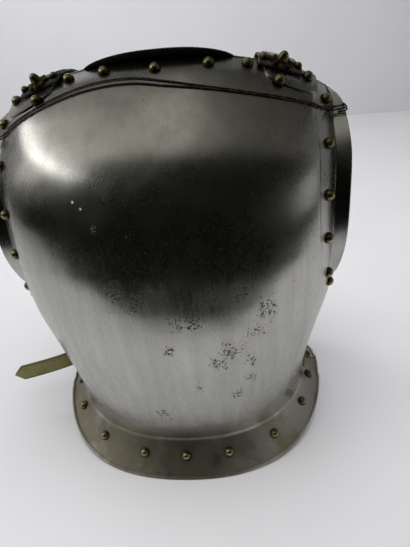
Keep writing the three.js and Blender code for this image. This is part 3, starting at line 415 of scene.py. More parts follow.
def steel_material(name, base, dull, tarnish_from, tarnish_to, roughness=0.25, anisotropy=0.6):
    """Hand-polished sheet steel. tarnish_from and tarnish_to are heights in metres."""
    made, tree, shader = new_material(name)
    place = tree.nodes.new("ShaderNodeTexCoord").outputs["Object"]
    squeeze = (1.0, 1.0, SCRATCH_WIDTH_MM / SCRATCH_LENGTH_MM)
    along = add_node(tree, "ShaderNodeMapping", {"Vector": place, "Scale": squeeze}).outputs[0]
    scratches = noise(tree, along, SCRATCH_WIDTH_MM, 4.0, 0.62)
    streaks = noise(tree, along, SCRATCH_WIDTH_MM * 9, 3.0, 0.6)
    smudges = noise(tree, place, 55, 5.0, 0.6, 0.4)
    waves = noise(tree, place, WAVE_MM, 1.0, 0.4)
    ripples = noise(tree, place, 11, 2.0, 0.5)
    specks = noise(tree, place, PIT_MM, 3.0, 0.65)
    wobble = ranged(tree, noise(tree, place, 9, 3.0), 0.25, 0.75, -7 * MM, 7 * MM)
    clusters = near_any(tree, place, on_back(PIT_CLUSTERS), wobble)
    level = combined(tree, "ADD", specks, combined(tree, "MULTIPLY", clusters, 0.17))
    pits = ranged(tree, level, 0.69, 0.73)
    scars = near_any(tree, place, on_back(SCARS), 0.0)
    height = add_node(tree, "ShaderNodeSeparateXYZ", {0: place}).outputs[2]
    low_down = ranged(tree, height, tarnish_to, tarnish_from)
    tarnish = combined(tree, "MULTIPLY", low_down, ranged(tree, smudges, 0.3, 0.52, 0.35, 1.0))
    spread = ranged(tree, noise(tree, place, 24, 4.0, 0.65), 0.56, 0.72)
    turned = add_node(tree, "ShaderNodeAttribute", attribute_name="turned").outputs["Fac"]
    # Painted dark reflection: the turned arm flanges are darkened from about 0.24 m to 0.365 m up.
    flange_painted_dark_reflection = combined(tree, "MULTIPLY", turned, combined(tree, "MULTIPLY", ranged(tree, height, 0.365, 0.335),
                                                         ranged(tree, height, 0.24, 0.28)))
    stains = combined(tree, "MAXIMUM", tarnish, combined(tree, "MULTIPLY", spread, 0.18))
    colour = mixed(tree, ranged(tree, streaks, 0.3, 0.7), linear(base), linear(dull))
    brown = mixed(tree, ranged(tree, smudges, 0.42, 0.56), linear("#b9b4a4"), linear("#8a846d"))
    colour = mixed(tree, combined(tree, "MULTIPLY", stains, 0.8), colour, brown)
    # A darker brown patch on the middle of the lower flange.
    darker_rim_middle = combined(tree, "MULTIPLY", near_any(tree, place, RIM_DARK_PATCH, wobble), low_down)
    colour = mixed(tree, combined(tree, "MULTIPLY", darker_rim_middle, 0.8), colour, linear("#4b4735"))
    # Painted dark reflection on the arm flanges.
    colour = mixed(tree, combined(tree, "MULTIPLY", flange_painted_dark_reflection, 0.6), colour, linear("#2c2b28"))
    colour = mixed(tree, combined(tree, "MULTIPLY", pits, 0.85), colour, linear("#2f2820"))
    colour = mixed(tree, scars, colour, linear("#e2ded2"))
    rough = ranged(tree, smudges, 0.3, 0.7, roughness - 0.04, roughness + 0.05)
    rough = combined(tree, "ADD", rough, ranged(tree, scratches, 0.35, 0.75, 0.0, 0.05))
    rough = combined(tree, "ADD", rough, combined(tree, "MULTIPLY", stains, 0.2))
    rough = combined(tree, "ADD", rough, combined(tree, "MULTIPLY", pits, 0.35))
    bump = add_node(tree, "ShaderNodeBump", {"Height": waves, "Strength": 1.0, "Distance": 0.8 * MM})
    bump = add_node(tree, "ShaderNodeBump", {"Height": ripples, "Strength": 0.4, "Distance": 0.08 * MM,
                                             "Normal": bump.outputs[0]})
    bump = add_node(tree, "ShaderNodeBump", {"Height": scratches, "Strength": 0.25, "Distance": 0.03 * MM,
                                             "Normal": bump.outputs[0]})
    bump = add_node(tree, "ShaderNodeBump", {"Height": pits, "Strength": 0.6, "Distance": 0.15 * MM,
                                             "Normal": bump.outputs[0]}, invert=True)
    tangent = add_node(tree, "ShaderNodeTangent", direction_type="RADIAL", axis="Z").outputs[0]
    metal = combined(tree, "SUBTRACT", ranged(tree, scars, 0, 1, 1.0, 0.0),
                     combined(tree, "MULTIPLY", tarnish, 0.35))
    for key, socket in (("Base Color", colour), ("Roughness", rough), ("Normal", bump.outputs[0]),
                        ("Tangent", tangent), ("Metallic", metal)):
        tree.links.new(socket, shader.inputs[key])
    shader.inputs["Anisotropic"].default_value = anisotropy
    shader.inputs["Anisotropic Rotation"].default_value = 0.0
    return made


polished_steel = steel_material("polished_steel", "#b6b5b0", "#a7a6a0", 0.036, 0.06)
inner_steel = steel_material("blackened_steel_inside", "#4b4843", "#37332f", 0.0, 0.3, 0.5, 0.0)
print("steel:", polished_steel.name, "and", inner_steel.name)

# %% [markdown]
# ## From grids of points to closed sheets
# A sheet is a grid of points, its normals, and a second grid one wall deeper. The edge between them gets
# a row of its own in the middle, pushed out a little, so that it catches light as a filed edge does.

# %% Sheet and mesh helpers


def new_object(name, points_mm, faces, materials, slots=None, attributes=None, sharp=40):
    """A mesh object from points in torso millimetres, placed in the frame, with named point attributes."""
    mesh = bpy.data.meshes.new(name)
    mesh.from_pydata(((np.asarray(points_mm) + TO_FRAME) * MM).tolist(), [], faces)
    for made in materials:
        mesh.materials.append(made)
    if slots is not None:
        mesh.polygons.foreach_set("material_index", np.asarray(slots, dtype=np.int32))
    for key, values in (attributes or {}).items():
        layer = mesh.attributes.new(key, "FLOAT", "POINT")
        layer.data.foreach_set("value", np.asarray(values, dtype=np.float32))
    mesh.validate()
    mesh.polygons.foreach_set("use_smooth", np.ones(len(mesh.polygons), dtype=bool))
    mesh.set_sharp_from_angle(angle=math.radians(sharp))
    made_object = bpy.data.objects.new(name, mesh)
    bpy.context.scene.collection.objects.link(made_object)
    return made_object


def quads(ids):
    """Faces over a grid of point numbers."""
    a, b, c, d = ids[:-1, :-1], ids[:-1, 1:], ids[1:, 1:], ids[1:, :-1]
    return np.stack([a, b, c, d], axis=-1).reshape(-1, 4)


def volume_of(points, faces):
    """Signed volume of a closed mesh of quads."""
    p = np.asarray(points)
    total = 0.0
    for second, third in ((1, 2), (2, 3)):
        a, b, c = (p[faces[:, k]] for k in (0, second, third))
        total += np.einsum("ij,ij->i", a, np.cross(b, c)).sum() / 6
    return total


def closed_sheet(outer, inner, bulge):
    """(points, faces, first inner face, point count of one side) of a closed wall between two grids."""
    rows, columns = outer.shape[:2]
    count = rows * columns
    outer_ids = np.arange(count).reshape(rows, columns)
    inner_ids = outer_ids + count
    loop = np.concatenate([outer_ids[0], outer_ids[1:, -1], outer_ids[-1, -2::-1], outer_ids[-2:0:-1, 0]])
    flat_outer, flat_inner = outer.reshape(-1, 3), inner.reshape(-1, 3)
    inset = np.concatenate([outer_ids[1], outer_ids[1:, -2], outer_ids[-2, -2::-1], outer_ids[-2:0:-1, 1]])
    away = unit(flat_outer[loop] - flat_outer[inset])
    middle = (flat_outer[loop] + flat_inner[loop]) / 2 + away * bulge
    middle_ids = 2 * count + np.arange(len(loop))
    following = np.roll(np.arange(len(loop)), -1)
    rim_a = np.stack([loop, middle_ids, middle_ids[following], loop[following]], axis=-1)
    rim_b = np.stack([middle_ids, loop + count, loop[following] + count, middle_ids[following]], axis=-1)
    points = np.concatenate([flat_outer, flat_inner, middle])
    outer_faces, inner_faces = quads(outer_ids), quads(inner_ids)[:, ::-1]
    faces = np.concatenate([outer_faces, rim_a[:, ::-1], rim_b[:, ::-1], inner_faces])
    if volume_of(points, faces) < 0:
        faces = faces[:, ::-1]
    return points, faces, len(faces) - len(inner_faces), count


def grid_normals(grid, outward):
    """Normals of a grid of points, on the side that outward points to."""
    normal = unit(np.cross(np.gradient(grid, axis=0), np.gradient(grid, axis=1)))
    flip = np.sign(np.einsum("ijk,ijk->ij", normal, np.broadcast_to(outward, grid.shape)))
    return normal * np.where(flip == 0, 1, flip)[..., None]


def hand_over(piece, nodes):
    """Rides the piece on the object, in place of its solids, which it hides."""
    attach(piece, "root")
    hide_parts(*nodes)
    triangles = sum(len(p.vertices) - 2 for p in piece.data.polygons)
    print(f"{piece.name}: {triangles} triangles for {len(nodes)} solid(s)")


print("helpers ready")

# %% [markdown]
# ## The plates
# A plate has a raised middle panel. The border beside the arms lies a little lower, behind a crease. At
# the arm openings and at the neck the edge is turned outwards, so that it does not chafe. All of it is
# one sheet here, so the bends are round and light runs along them. Rows of points are set close together
# at the waist and then averaged with their neighbours: that rounds the sharp bend as a stake would.

# %% Grid of one plate
COLLAR, COLLAR_ANGLE, COLLAR_LEAN = 12, 23, 52
LEAST_TURN = 0.4
BEND_RADIUS = 2.6
BEND_STEPS, STRAIGHT_STEPS = 6, 4
SIDE_COLUMNS = BEND_STEPS + STRAIGHT_STEPS


def turned_edge(point, along, normal, lean_deg, width):
    """Sections of a turned-out edge: (points, normals) with a new axis in second place."""
    bend = math.radians(90 - lean_deg)
    radius = np.minimum(BEND_RADIUS, 0.45 * width)[:, None, None]
    arc = np.linspace(0, 1, BEND_STEPS + 1)[1:, None] * bend
    forth, out = along[:, None, :], normal[:, None, :]
    on_arc = point[:, None, :] + radius * (np.sin(arc) * forth + (1 - np.cos(arc)) * out)
    arc_normal = np.cos(arc) * out - np.sin(arc) * forth
    heading = math.cos(bend) * forth + math.sin(bend) * out
    left = np.maximum(width[:, None, None] - radius * bend, LEAST_TURN * 0.5)
    steps = np.linspace(0, 1, STRAIGHT_STEPS + 1)[1:, None]
    on_straight = on_arc[:, -1:, :] + left * steps * heading
    straight_normal = np.repeat(arc_normal[:, -1:, :], STRAIGHT_STEPS, axis=1)
    return (np.concatenate([on_arc, on_straight], axis=1),
            np.concatenate([arc_normal, straight_normal], axis=1))


def taper(position, fullness):
    """Width share of a turned edge between its two tips."""
    return np.maximum(0, 1 - np.abs(position) ** fullness) ** 0.7


def arm_taper(position):
    """Width share of an arm flange: it swells slowly from its foot and stays full near its top."""
    return taper(position, np.where(position > 0, 6, 2.6))


def plate_grid(plate):
    """(outer points, outward normals) of a whole plate with its turned edges."""
    top = top_of(plate)
    near_waist = np.linspace(0, 0.03, 13)[1:]
    ups = np.concatenate([[0], near_waist, np.linspace(0.03, 0.9 * top, 92)[1:],
                          np.linspace(0.9 * top, top, 24)[1:]])
    shares = np.concatenate([np.linspace(1, 0.22, 12), np.linspace(0.22, 0, 8)[1:-1]])
    row_up = np.concatenate([np.zeros(len(shares)), ups])
    row_share = np.concatenate([shares, np.zeros(len(ups))])
    panel = inset_angle(plate, row_up, BAND_WIDTH + STEP_WIDTH)
    crease = inset_angle(plate, row_up, BAND_WIDTH)
    edge = edge_angle(plate, row_up)
    angle = np.stack([panel * k / 44 for k in range(45)]
                     + [panel + (crease - panel) * s for s in (0.2, 0.4, 0.6, 0.8, 1.0)]
                     + [crease + (edge - crease) * s for s in np.linspace(0, 1, 9)[1:]], axis=1)
    angle = np.concatenate([-angle[:, :0:-1], angle], axis=1)
    up = np.repeat(row_up[:, None], angle.shape[1], axis=1)
    sunk = sunk_at(plate, angle, up)
    share = np.repeat(row_share[:, None], angle.shape[1], axis=1)
    inward = np.stack([-np.sin(angle), -np.cos(angle) * plate["facing"], 0 * angle], axis=-1)
    on_form = form_point(plate, angle, up) - form_normal(plate, angle, up) * sunk[..., None]
    on_flange = flange_point(plate, angle, share) + inward * sunk[..., None]
    points = np.where((share > 0)[..., None], on_flange, on_form)
    bend = slice(len(shares) - 6, len(shares) + 12)
    for _ in range(5):
        smooth = points.copy()
        smooth[1:-1] = (points[:-2] + 2 * points[1:-1] + points[2:]) / 4
        points[bend] = smooth[bend]
    outward = np.stack([points[..., 0] / HALF_WIDTH, points[..., 1] / plate["depth"],
                        0.25 + 0 * angle], axis=-1)
    normals = grid_normals(points, outward)
    arm_position = 2 * (row_up - ARM_FLANGE_START) / (top - 0.002 - ARM_FLANGE_START) - 1
    width = np.where(row_up > ARM_FLANGE_START, ARM_FLANGE * arm_taper(arm_position), 0)
    width = np.maximum(width, LEAST_TURN)
    sides = []
    for end, inside in ((0, 1), (-1, -2)):
        point, normal = points[:, end], normals[:, end]
        rise = unit(np.gradient(point, axis=0))
        along = point - points[:, inside]
        along = unit(along - np.einsum("ij,ij->i", along, rise)[:, None] * rise)
        sides.append(turned_edge(point, along, normal, ARM_FLANGE_LEAN, width))
    points = np.concatenate([sides[0][0][:, ::-1], points, sides[1][0]], axis=1)
    normals = np.concatenate([sides[0][1][:, ::-1], normals, sides[1][1]], axis=1)
    last, before = points[-1], points[-2]
    along = unit(last - before)
    top_angle = np.concatenate([np.full(SIDE_COLUMNS, -9.0), angle[-1], np.full(SIDE_COLUMNS, 9.0)])
    position = top_angle / math.radians(COLLAR_ANGLE)
    collar_width = np.maximum(COLLAR * taper(np.clip(position, -1, 1), 2.2), LEAST_TURN)
    a = np.clip(top_angle, -0.6, 0.6)
    lean = math.radians(COLLAR_LEAN)
    turn = np.stack([np.sin(a) * math.sin(lean), np.cos(a) * math.sin(lean) * plate["facing"],
                     np.full_like(a, math.cos(lean))], axis=-1)
    reach = np.linspace(0, 1, 11)[:, None, None] ** 1.5
    bend_share = np.minimum(reach[1:] / 0.12, 1)
    heading = unit(along[None] * (1 - bend_share) + turn[None] * bend_share)
    collar_points = last[None] + np.cumsum(
        heading * collar_width[None, :, None] * np.diff(reach, axis=0), axis=0)
    sideways = np.gradient(collar_points, axis=1)
    collar_normals = unit(np.cross(heading, sideways))
    flip = np.sign(np.einsum("ijk,jk->ij", collar_normals, normals[-1]))
    collar_normals *= np.where(flip == 0, 1, flip)[..., None]
    points = np.concatenate([points, collar_points])
    normals = np.concatenate([normals, collar_normals])
    return points, normals


def clear_of_seam(points, plate):
    """Keeps the side edges just off the plane where the two plates meet."""
    points[..., 1] = plate["facing"] * np.maximum(points[..., 1] * plate["facing"], SEAM_GAP / 2)
    return points


def make_plate(name, plate):
    """The sheet of one plate, polished outside and dark inside."""
    points, normals = plate_grid(plate)
    inner = points - normals * plate["wall"]
    inner[..., 2] = np.maximum(inner[..., 2], 0)
    points[..., 2] = np.maximum(points[..., 2], 0)
    outer_ready, inner_ready = clear_of_seam(points, plate), clear_of_seam(inner, plate)
    vertices, faces, first_inner, _ = closed_sheet(outer_ready, inner_ready, plate["wall"] * 0.35)
    clear_of_seam(vertices, plate)
    vertices[:, 2] = np.maximum(vertices[:, 2], 0)
    slots = (np.arange(len(faces)) >= first_inner).astype(int)
    turned = np.zeros(outer_ready.shape[:2])
    turned[:, :SIDE_COLUMNS] = turned[:, -SIDE_COLUMNS:] = 1
    rim = len(vertices) - 2 * turned.size
    layers = {"turned": np.concatenate([turned.ravel(), turned.ravel(), np.zeros(rim)])}
    return new_object(name, vertices, faces.tolist(), [polished_steel, inner_steel], slots, layers, sharp=50)


back_sheet = make_plate("back_sheet", BACK)
breast_sheet = make_plate("breast_sheet", BREAST)

# %% [markdown]
# ## The rolled rim
# The photograph shows a thin bead along the lower rim, as a rim that is folded over on itself has. A tube
# along the rim's own line makes it. It is joined to its plate as one piece.

# %% Rim bead
BEAD_RADIUS = 1.5


def tube(path, radius, sides=10):
    """(points, faces) of a closed tube along a path; radius may change from point to point."""
    path = np.asarray(path, float)
    tangent = unit(np.gradient(path, axis=0))
    normal = unit(np.cross(tangent[0], [0.3, 0.2, 1.0]))
    ring_angle = np.linspace(0, 2 * math.pi, sides, endpoint=False)
    radius = np.broadcast_to(radius, len(path))
    rings = []
    for centre, direction, size in zip(path, tangent, radius):
        normal = unit(normal - direction * normal.dot(direction))
        side = np.cross(direction, normal)
        rings.append(centre + size * (np.cos(ring_angle)[:, None] * normal
                                      + np.sin(ring_angle)[:, None] * side))
    points = np.concatenate(rings)
    ids = np.arange(len(points)).reshape(len(path), sides)
    wrapped = np.concatenate([ids, ids[:, :1]], axis=1)
    faces = quads(wrapped)[:, ::-1].tolist()
    return points, faces + [ids[0][::-1].tolist()[::-1], ids[-1].tolist()[::-1]]


def oriented(piece):
    """Turns a closed piece's faces outwards."""
    import bmesh
    work = bmesh.new()
    work.from_mesh(piece.data)
    bmesh.ops.recalc_face_normals(work, faces=work.faces)
    work.to_mesh(piece.data)
    work.free()
    return piece


def joined(target, *others):
    """Adds other objects' meshes to target and removes them."""
    with bpy.context.temp_override(active_object=target, object=target, selected_objects=[target, *others],
                                   selected_editable_objects=[target, *others]):
        bpy.ops.object.join()
    return target


def rim_bead(plate):
    """Tube along the lower rim."""
    limit = math.pi / 2 - 0.02
    angle = np.linspace(-limit, limit, 121)
    sunk = BAND_STEP * (np.abs(angle) > inset_angle(plate, 0.0, BAND_WIDTH + STEP_WIDTH / 2))
    path = flange_point(plate, angle, 1.0)
    inward = np.stack([-np.sin(angle), -np.cos(angle) * plate["facing"], 0 * angle], axis=-1)
    path = path + inward * (sunk + 0.6)[:, None] + np.array([0, 0, BEAD_RADIUS])
    points, faces = tube(path, BEAD_RADIUS)
    return oriented(new_object("rim_bead", points, faces, [polished_steel]))


joined(back_sheet, rim_bead(BACK))
hand_over(back_sheet, ["back_plate"])

# %% [markdown]
# ## The rivets
# Round-headed brass rivets run along every edge of the plates. They repeat, so Geometry Nodes set
# them: a cloud of points carries where each rivet sits and which way it looks, and the tree puts one dome
# on each. The tree makes the dome too, from a ball whose lower half is pressed flat.

# %% Where the rivets sit
RIVET_DIAMETER, RIVET_HEIGHT, RIVET_INSET = 11.5, 6.2, 12
FLANGE_RIVET_ANGLES, FLANGE_RIVET_SHARE, NECK_RIVET_UP = (16, 38.5, 62.5, 80), 0.46, 0.972
ARM_RIVET_UPS = (0.945, 0.826, 0.692, 0.573, 0.45, 0.4, 0.3, 0.19)
# out: share of SHOULDER_REACH; up: share of PLATE_HEIGHT; carried: stands on the strap's end plate
TOP_RIVETS = ((0.31, 0.977, False), (0.54, 0.981, False), (0.72, 0.953, True), (0.9, 0.978, True))
END_PLATE_WALL, SEAT_GAP = 1.5, 0.35
STRAP_PLACE, STRAP_WIDTH = 0.731 * SHOULDER_REACH, 41


def rivet_places(plate):
    """(points, normals) of a plate's rivets."""
    found = []

    def on_flange(angle):
        outer, inner = flange_point(plate, angle, 0.7), flange_point(plate, angle, 0.3)
        beside = flange_point(plate, angle + 0.05, 0.5) - flange_point(plate, angle - 0.05, 0.5)
        normal = unit(np.cross(outer - inner, beside))
        found.append((flange_point(plate, angle, FLANGE_RIVET_SHARE), normal * np.sign(normal[2])))

    def on_form(angle, up, lift):
        normal = form_normal(plate, angle, up)
        found.append((form_point(plate, angle, up) + normal * lift, normal))

    to_top = top_of(plate) / top_of(BACK)
    on_flange(0.0)
    on_form(0.0, NECK_RIVET_UP * to_top, 0.0)
    for side in (1, -1):
        for degrees in FLANGE_RIVET_ANGLES:
            on_flange(side * math.radians(degrees))
        for up in ARM_RIVET_UPS:
            height = up * (1 + (to_top - 1) * (up - ARM_FLANGE_START) * 1.5 if up > ARM_FLANGE_START else 1)
            angle = side * inset_angle(plate, height, RIVET_INSET)
            on_form(angle, height, -sunk_at(plate, angle, height))
        for out, up, carried in TOP_RIVETS:
            under_strap = abs(out * SHOULDER_REACH - STRAP_PLACE) < (STRAP_WIDTH + RIVET_DIAMETER) / 2
            if plate is BREAST and under_strap:
                continue
            height = up * to_top
            angle = angle_at_x(plate, side * out * SHOULDER_REACH, height)
            on_end_plate = carried and plate is BACK
            on_form(angle, height,
                    END_PLATE_WALL + SEAT_GAP if on_end_plate else -sunk_at(plate, angle, height))
    return np.array([p for p, _ in found]), np.array([n for _, n in found])


# %% The tree that sets domes


def dome_tree():
    """Geometry Nodes: a dome on every point, turned to the point's aim."""
    tree = bpy.data.node_groups.new("domed_heads", "GeometryNodeTree")
    face = tree.interface
    face.new_socket("Points", in_out="INPUT", socket_type="NodeSocketGeometry")
    for name, value in (("Diameter", 0.01), ("Height", 0.006)):
        face.new_socket(name, in_out="INPUT", socket_type="NodeSocketFloat").default_value = value
    face.new_socket("Sides", in_out="INPUT", socket_type="NodeSocketInt").default_value = 24
    face.new_socket("Material", in_out="INPUT", socket_type="NodeSocketMaterial")
    face.new_socket("Heads", in_out="OUTPUT", socket_type="NodeSocketGeometry")
    given = tree.nodes.new("NodeGroupInput").outputs
    ball = add_node(tree, "GeometryNodeMeshUVSphere",
                    {"Segments": given["Sides"], "Rings": 14, "Radius": 1.0})
    position = tree.nodes.new("GeometryNodeInputPosition").outputs[0]
    parts = add_node(tree, "ShaderNodeSeparateXYZ", {0: position})
    flat = combined(tree, "MULTIPLY", combined(tree, "MINIMUM", parts.outputs[2], 0.0), 0.03)
    raised = combined(tree, "MAXIMUM", parts.outputs[2], 0.0)
    pressed = add_node(tree, "ShaderNodeCombineXYZ",
                       {0: parts.outputs[0], 1: parts.outputs[1], 2: combined(tree, "ADD", flat, raised)})
    dome = add_node(tree, "GeometryNodeSetPosition", {"Geometry": ball.outputs["Mesh"],
                                                      "Position": pressed.outputs[0]})
    marked = add_node(tree, "GeometryNodeStoreNamedAttribute", {"Geometry": dome.outputs[0], "Name": "high",
                                                                "Value": raised},
                      data_type="FLOAT", domain="POINT")
    radius = combined(tree, "MULTIPLY", given["Diameter"], 0.5)
    size = add_node(tree, "ShaderNodeCombineXYZ", {0: radius, 1: radius, 2: given["Height"]})
    sized = add_node(tree, "GeometryNodeTransform", {"Geometry": marked.outputs[0], "Scale": size.outputs[0]})
    aim = add_node(tree, "GeometryNodeInputNamedAttribute", {"Name": "aim"}, data_type="FLOAT_VECTOR")
    turn = add_node(tree, "FunctionNodeAlignRotationToVector", {"Vector": aim.outputs[0]}, axis="Z")
    set_down = add_node(tree, "GeometryNodeInstanceOnPoints", {"Points": given["Points"],
                                                               "Instance": sized.outputs[0],
                                                               "Rotation": turn.outputs[0]})
    real = add_node(tree, "GeometryNodeRealizeInstances", {"Geometry": set_down.outputs[0]})
    smooth = add_node(tree, "GeometryNodeSetShadeSmooth", {"Geometry": real.outputs[0]})
    finished = add_node(tree, "GeometryNodeSetMaterial", {"Geometry": smooth.outputs[0],
                                                          "Material": given["Material"]})
    add_node(tree, "NodeGroupOutput", {"Heads": finished.outputs[0]})
    return tree


domed_heads = dome_tree()


def set_domes(name, points_mm, normals, diameter_mm, height_mm, brass, sides=24):
    """One mesh of domes on the given places."""
    mesh = bpy.data.meshes.new(name + "_places")
    mesh.from_pydata(((np.asarray(points_mm) + TO_FRAME) * MM).tolist(), [], [])
    layer = mesh.attributes.new("aim", "FLOAT_VECTOR", "POINT")
    layer.data.foreach_set("vector", np.asarray(normals, dtype=np.float32).ravel())
    cloud = bpy.data.objects.new(name + "_places", mesh)
    bpy.context.scene.collection.objects.link(cloud)
    modifier = cloud.modifiers.new("heads", "NODES")
    modifier.node_group = domed_heads
    sizes = {"Diameter": diameter_mm * MM, "Height": height_mm * MM, "Sides": sides, "Material": brass}
    for socket in domed_heads.interface.items_tree:
        if socket.in_out == "INPUT" and socket.name in sizes:
            modifier[socket.identifier] = sizes[socket.name]
    evaluated = cloud.evaluated_get(bpy.context.evaluated_depsgraph_get())
    made = bpy.data.objects.new(name, bpy.data.meshes.new_from_object(evaluated))
    bpy.context.scene.collection.objects.link(made)
    cloud.modifiers.remove(modifier)
    bpy.data.objects.remove(cloud)
    return made


rivet_nodes = [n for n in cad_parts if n.startswith("rivet_")]
back_rivets = set_domes("back_rivets", *rivet_places(BACK), RIVET_DIAMETER, RIVET_HEIGHT, rivet_brass)
hand_over(back_rivets, rivet_nodes)
breast_rivets = set_domes("breast_rivets", *rivet_places(BREAST), RIVET_DIAMETER, RIVET_HEIGHT, rivet_brass)
joined(breast_sheet, rim_bead(BREAST), breast_rivets)
hand_over(breast_sheet, ["breast_plate"])

# %% [markdown]
# ## Shoulder straps
# Each strap starts on a steel end plate on the back plate, crosses the gap in a low arch and lies on the
# breast plate, where a stud takes it. Leather is made as a rounded section carried along rows of points.
# The rows are few and a spline runs between them, so the strap bends as leather does.

# %% Rows that follow the plates
STRAP_LEATHER, STRAP_BACK_LENGTH, STRAP_ARCH, STRAP_FRONT_END = 2.6, 14, 9, 0.7
FACING_WIDTH, FACING_WALL, FACING_SETBACK = 30, 1.4, 0.012
STRAP_BACK_LIFT = END_PLATE_WALL + 2 * SEAT_GAP


def resting_point(plate, x, up, lift):
    """Point that lies lift mm above a plate at x mm from the middle."""
    angle = angle_at_x(plate, x, up)
    return form_point(plate, angle, up) + form_normal(plate, angle, up) * lift


def up_below_top(plate, x, distance):
    """Height share that lies a distance in mm below the top edge, measured on the surface."""
    ups = np.linspace(top_of(plate), top_of(plate) - 0.3, 301)
    line = resting_point(plate, np.full_like(ups, x), ups, 0)
    gone = np.concatenate([[0], np.cumsum(np.linalg.norm(np.diff(line, axis=0), axis=1))])
    return float(np.interp(distance, gone, ups))


def splined(rows, steps):
    """Rows of points with more rows between them, on a Catmull-Rom spline."""
    rows = np.asarray(rows, float)
    padded = np.concatenate([2 * rows[:1] - rows[1:2], rows, 2 * rows[-1:] - rows[-2:-1]])
    made = []
    for k in range(1, len(padded) - 2):
        p0, p1, p2, p3 = padded[k - 1:k + 3]
        for t in np.linspace(0, 1, steps, endpoint=False):
            made.append(0.5 * (2 * p1 + (p2 - p0) * t + (2 * p0 - 5 * p1 + 4 * p2 - p3) * t**2
                               + (3 * p1 - p0 - 3 * p2 + p3) * t**3))
    return np.array(made + [rows[-1]])


def strap_rows(side, width, back_length, front_end, places=11):
    """Underside of a shoulder strap, from the back plate over the arch to the breast plate."""
    xs = side * (STRAP_PLACE + np.linspace(-1, 1, places) * width / 2)
    rows = []
    for share in (1, 0.75, 0.5, 0.25, 0):
        ups = [up_below_top(BACK, x, 1 + back_length * share) for x in xs]
        rows.append([resting_point(BACK, x, up, STRAP_BACK_LIFT) for x, up in zip(xs, ups)])
    first = np.array([resting_point(BREAST, x, top_of(BREAST), SEAT_GAP) for x in xs])
    for k in range(1, 6):
        share = k / 6
        lift = np.array([0, 0, STRAP_ARCH * math.sin(math.pi * share)])
        rows.append((1 - share) * np.array(rows[4]) + share * first + lift)
    for up in np.linspace(top_of(BREAST), front_end, 8):
        rows.append([resting_point(BREAST, x, up, SEAT_GAP) for x in xs])
    return splined(rows, 4)


def strap_solid(name, rows, thickness, outward, material, crown=0.0, edge_round=0.35):
    """A strap with rounded edges on its underside's rows, with the attribute "edge"."""
    rows = np.asarray(rows)
    normals = grid_normals(rows, outward(rows))
    across = np.linspace(-1, 1, rows.shape[1])
    lift = thickness * (1 + crown * (1 - across**2))
    upper = rows + normals * lift[None, :, None]
    points, faces, _, count = closed_sheet(upper, rows, thickness * edge_round)
    edge = np.tile(np.abs(across), len(rows))
    high = np.tile(1 - np.abs(across) ** 4, len(rows))
    rim = len(points) - 2 * count
    layers = {"edge": np.concatenate([edge, edge, np.ones(rim)]),
              "high": np.concatenate([high, 0 * high, np.zeros(rim)])}
    return new_object(name, points, faces.tolist(), [material], attributes=layers, sharp=60)


def skyward(rows):
    """Upward and away from the seam plane."""
    return np.stack([0 * rows[..., 0], np.sign(rows[..., 1]) * 0.35, 1 + 0 * rows[..., 0]], axis=-1)


# %% Straps and their facings
SIDES = {"left": 1, "right": -1}
for hand, side in SIDES.items():
    rows = strap_rows(side, STRAP_WIDTH, STRAP_BACK_LENGTH, STRAP_FRONT_END)
    strap = strap_solid(f"leather_strap_{hand}", rows, STRAP_LEATHER, skyward, brown_leather)
    hand_over(strap, [f"shoulder_strap_{hand}"])
    rows = strap_rows(side, FACING_WIDTH, STRAP_BACK_LENGTH, STRAP_FRONT_END + FACING_SETBACK)
    under = rows + grid_normals(rows, skyward(rows)) * (STRAP_LEATHER + 0.15)
    facing = strap_solid(f"brass_facing_{hand}", under[12:], FACING_WALL, skyward, cast_brass, crown=0.6)
    hand_over(facing, [f"strap_facing_{hand}"])

# %% [markdown]
# ## End plates, rosettes and small rivets
# A steel plate with a bowed lower edge lies between the plate's border and the strap's end. On the strap
# sits a cast brass rosette: eight leaves round a knob. The leaves are a height drawn over a disc: a wave
# round the centre and a dip along each leaf's middle.

# %% End plates
END_PLATE_WIDTH, END_PLATE_DEPTH, END_PLATE_SHIFT = 52, 33, 11


def end_plate(hand, side):
    """Bowed steel plate on the border of the back plate."""
    columns, rows = 25, 13
    lower = []
    for i in range(rows):
        line = []
        for across in np.linspace(-1, 1, columns):
            bow = 0.6 + 0.4 * math.sqrt(1 - across * across)
            x = side * (STRAP_PLACE + END_PLATE_SHIFT + across * END_PLATE_WIDTH / 2)
            up = up_below_top(BACK, x, 1 + END_PLATE_DEPTH * bow * i / (rows - 1))
            line.append(resting_point(BACK, x, up, 0.1))
        lower.append(line)
    lower = np.array(lower)
    return strap_solid(f"strap_end_{hand}", lower, END_PLATE_WALL, skyward, polished_steel, edge_round=0.4)


def shoulder_seat(side, sideways, below, lift):
    """(point, normal) of what sits on a shoulder."""
    x = side * (STRAP_PLACE + sideways)
    up = up_below_top(BACK, x, below)
    return resting_point(BACK, x, up, lift), form_normal(BACK, angle_at_x(BACK, x, up), up)


for hand, side in SIDES.items():
    hand_over(end_plate(hand, side), [f"end_plate_{hand}"])

# %% Rosettes
ROSETTE_RADIUS, ROSETTE_HEIGHT, ROSETTE_LEAF, ROSETTE_PLACE = 11.5, 12, 3.5, 8
LEAVES = 8


def placed(points, point, normal):
    """Points made round the +Z axis, turned to a normal and moved to a place."""
    turn = Vector((0, 0, 1)).rotation_difference(Vector(normal)).to_matrix()
    return np.asarray(points) @ np.array(turn).T + point


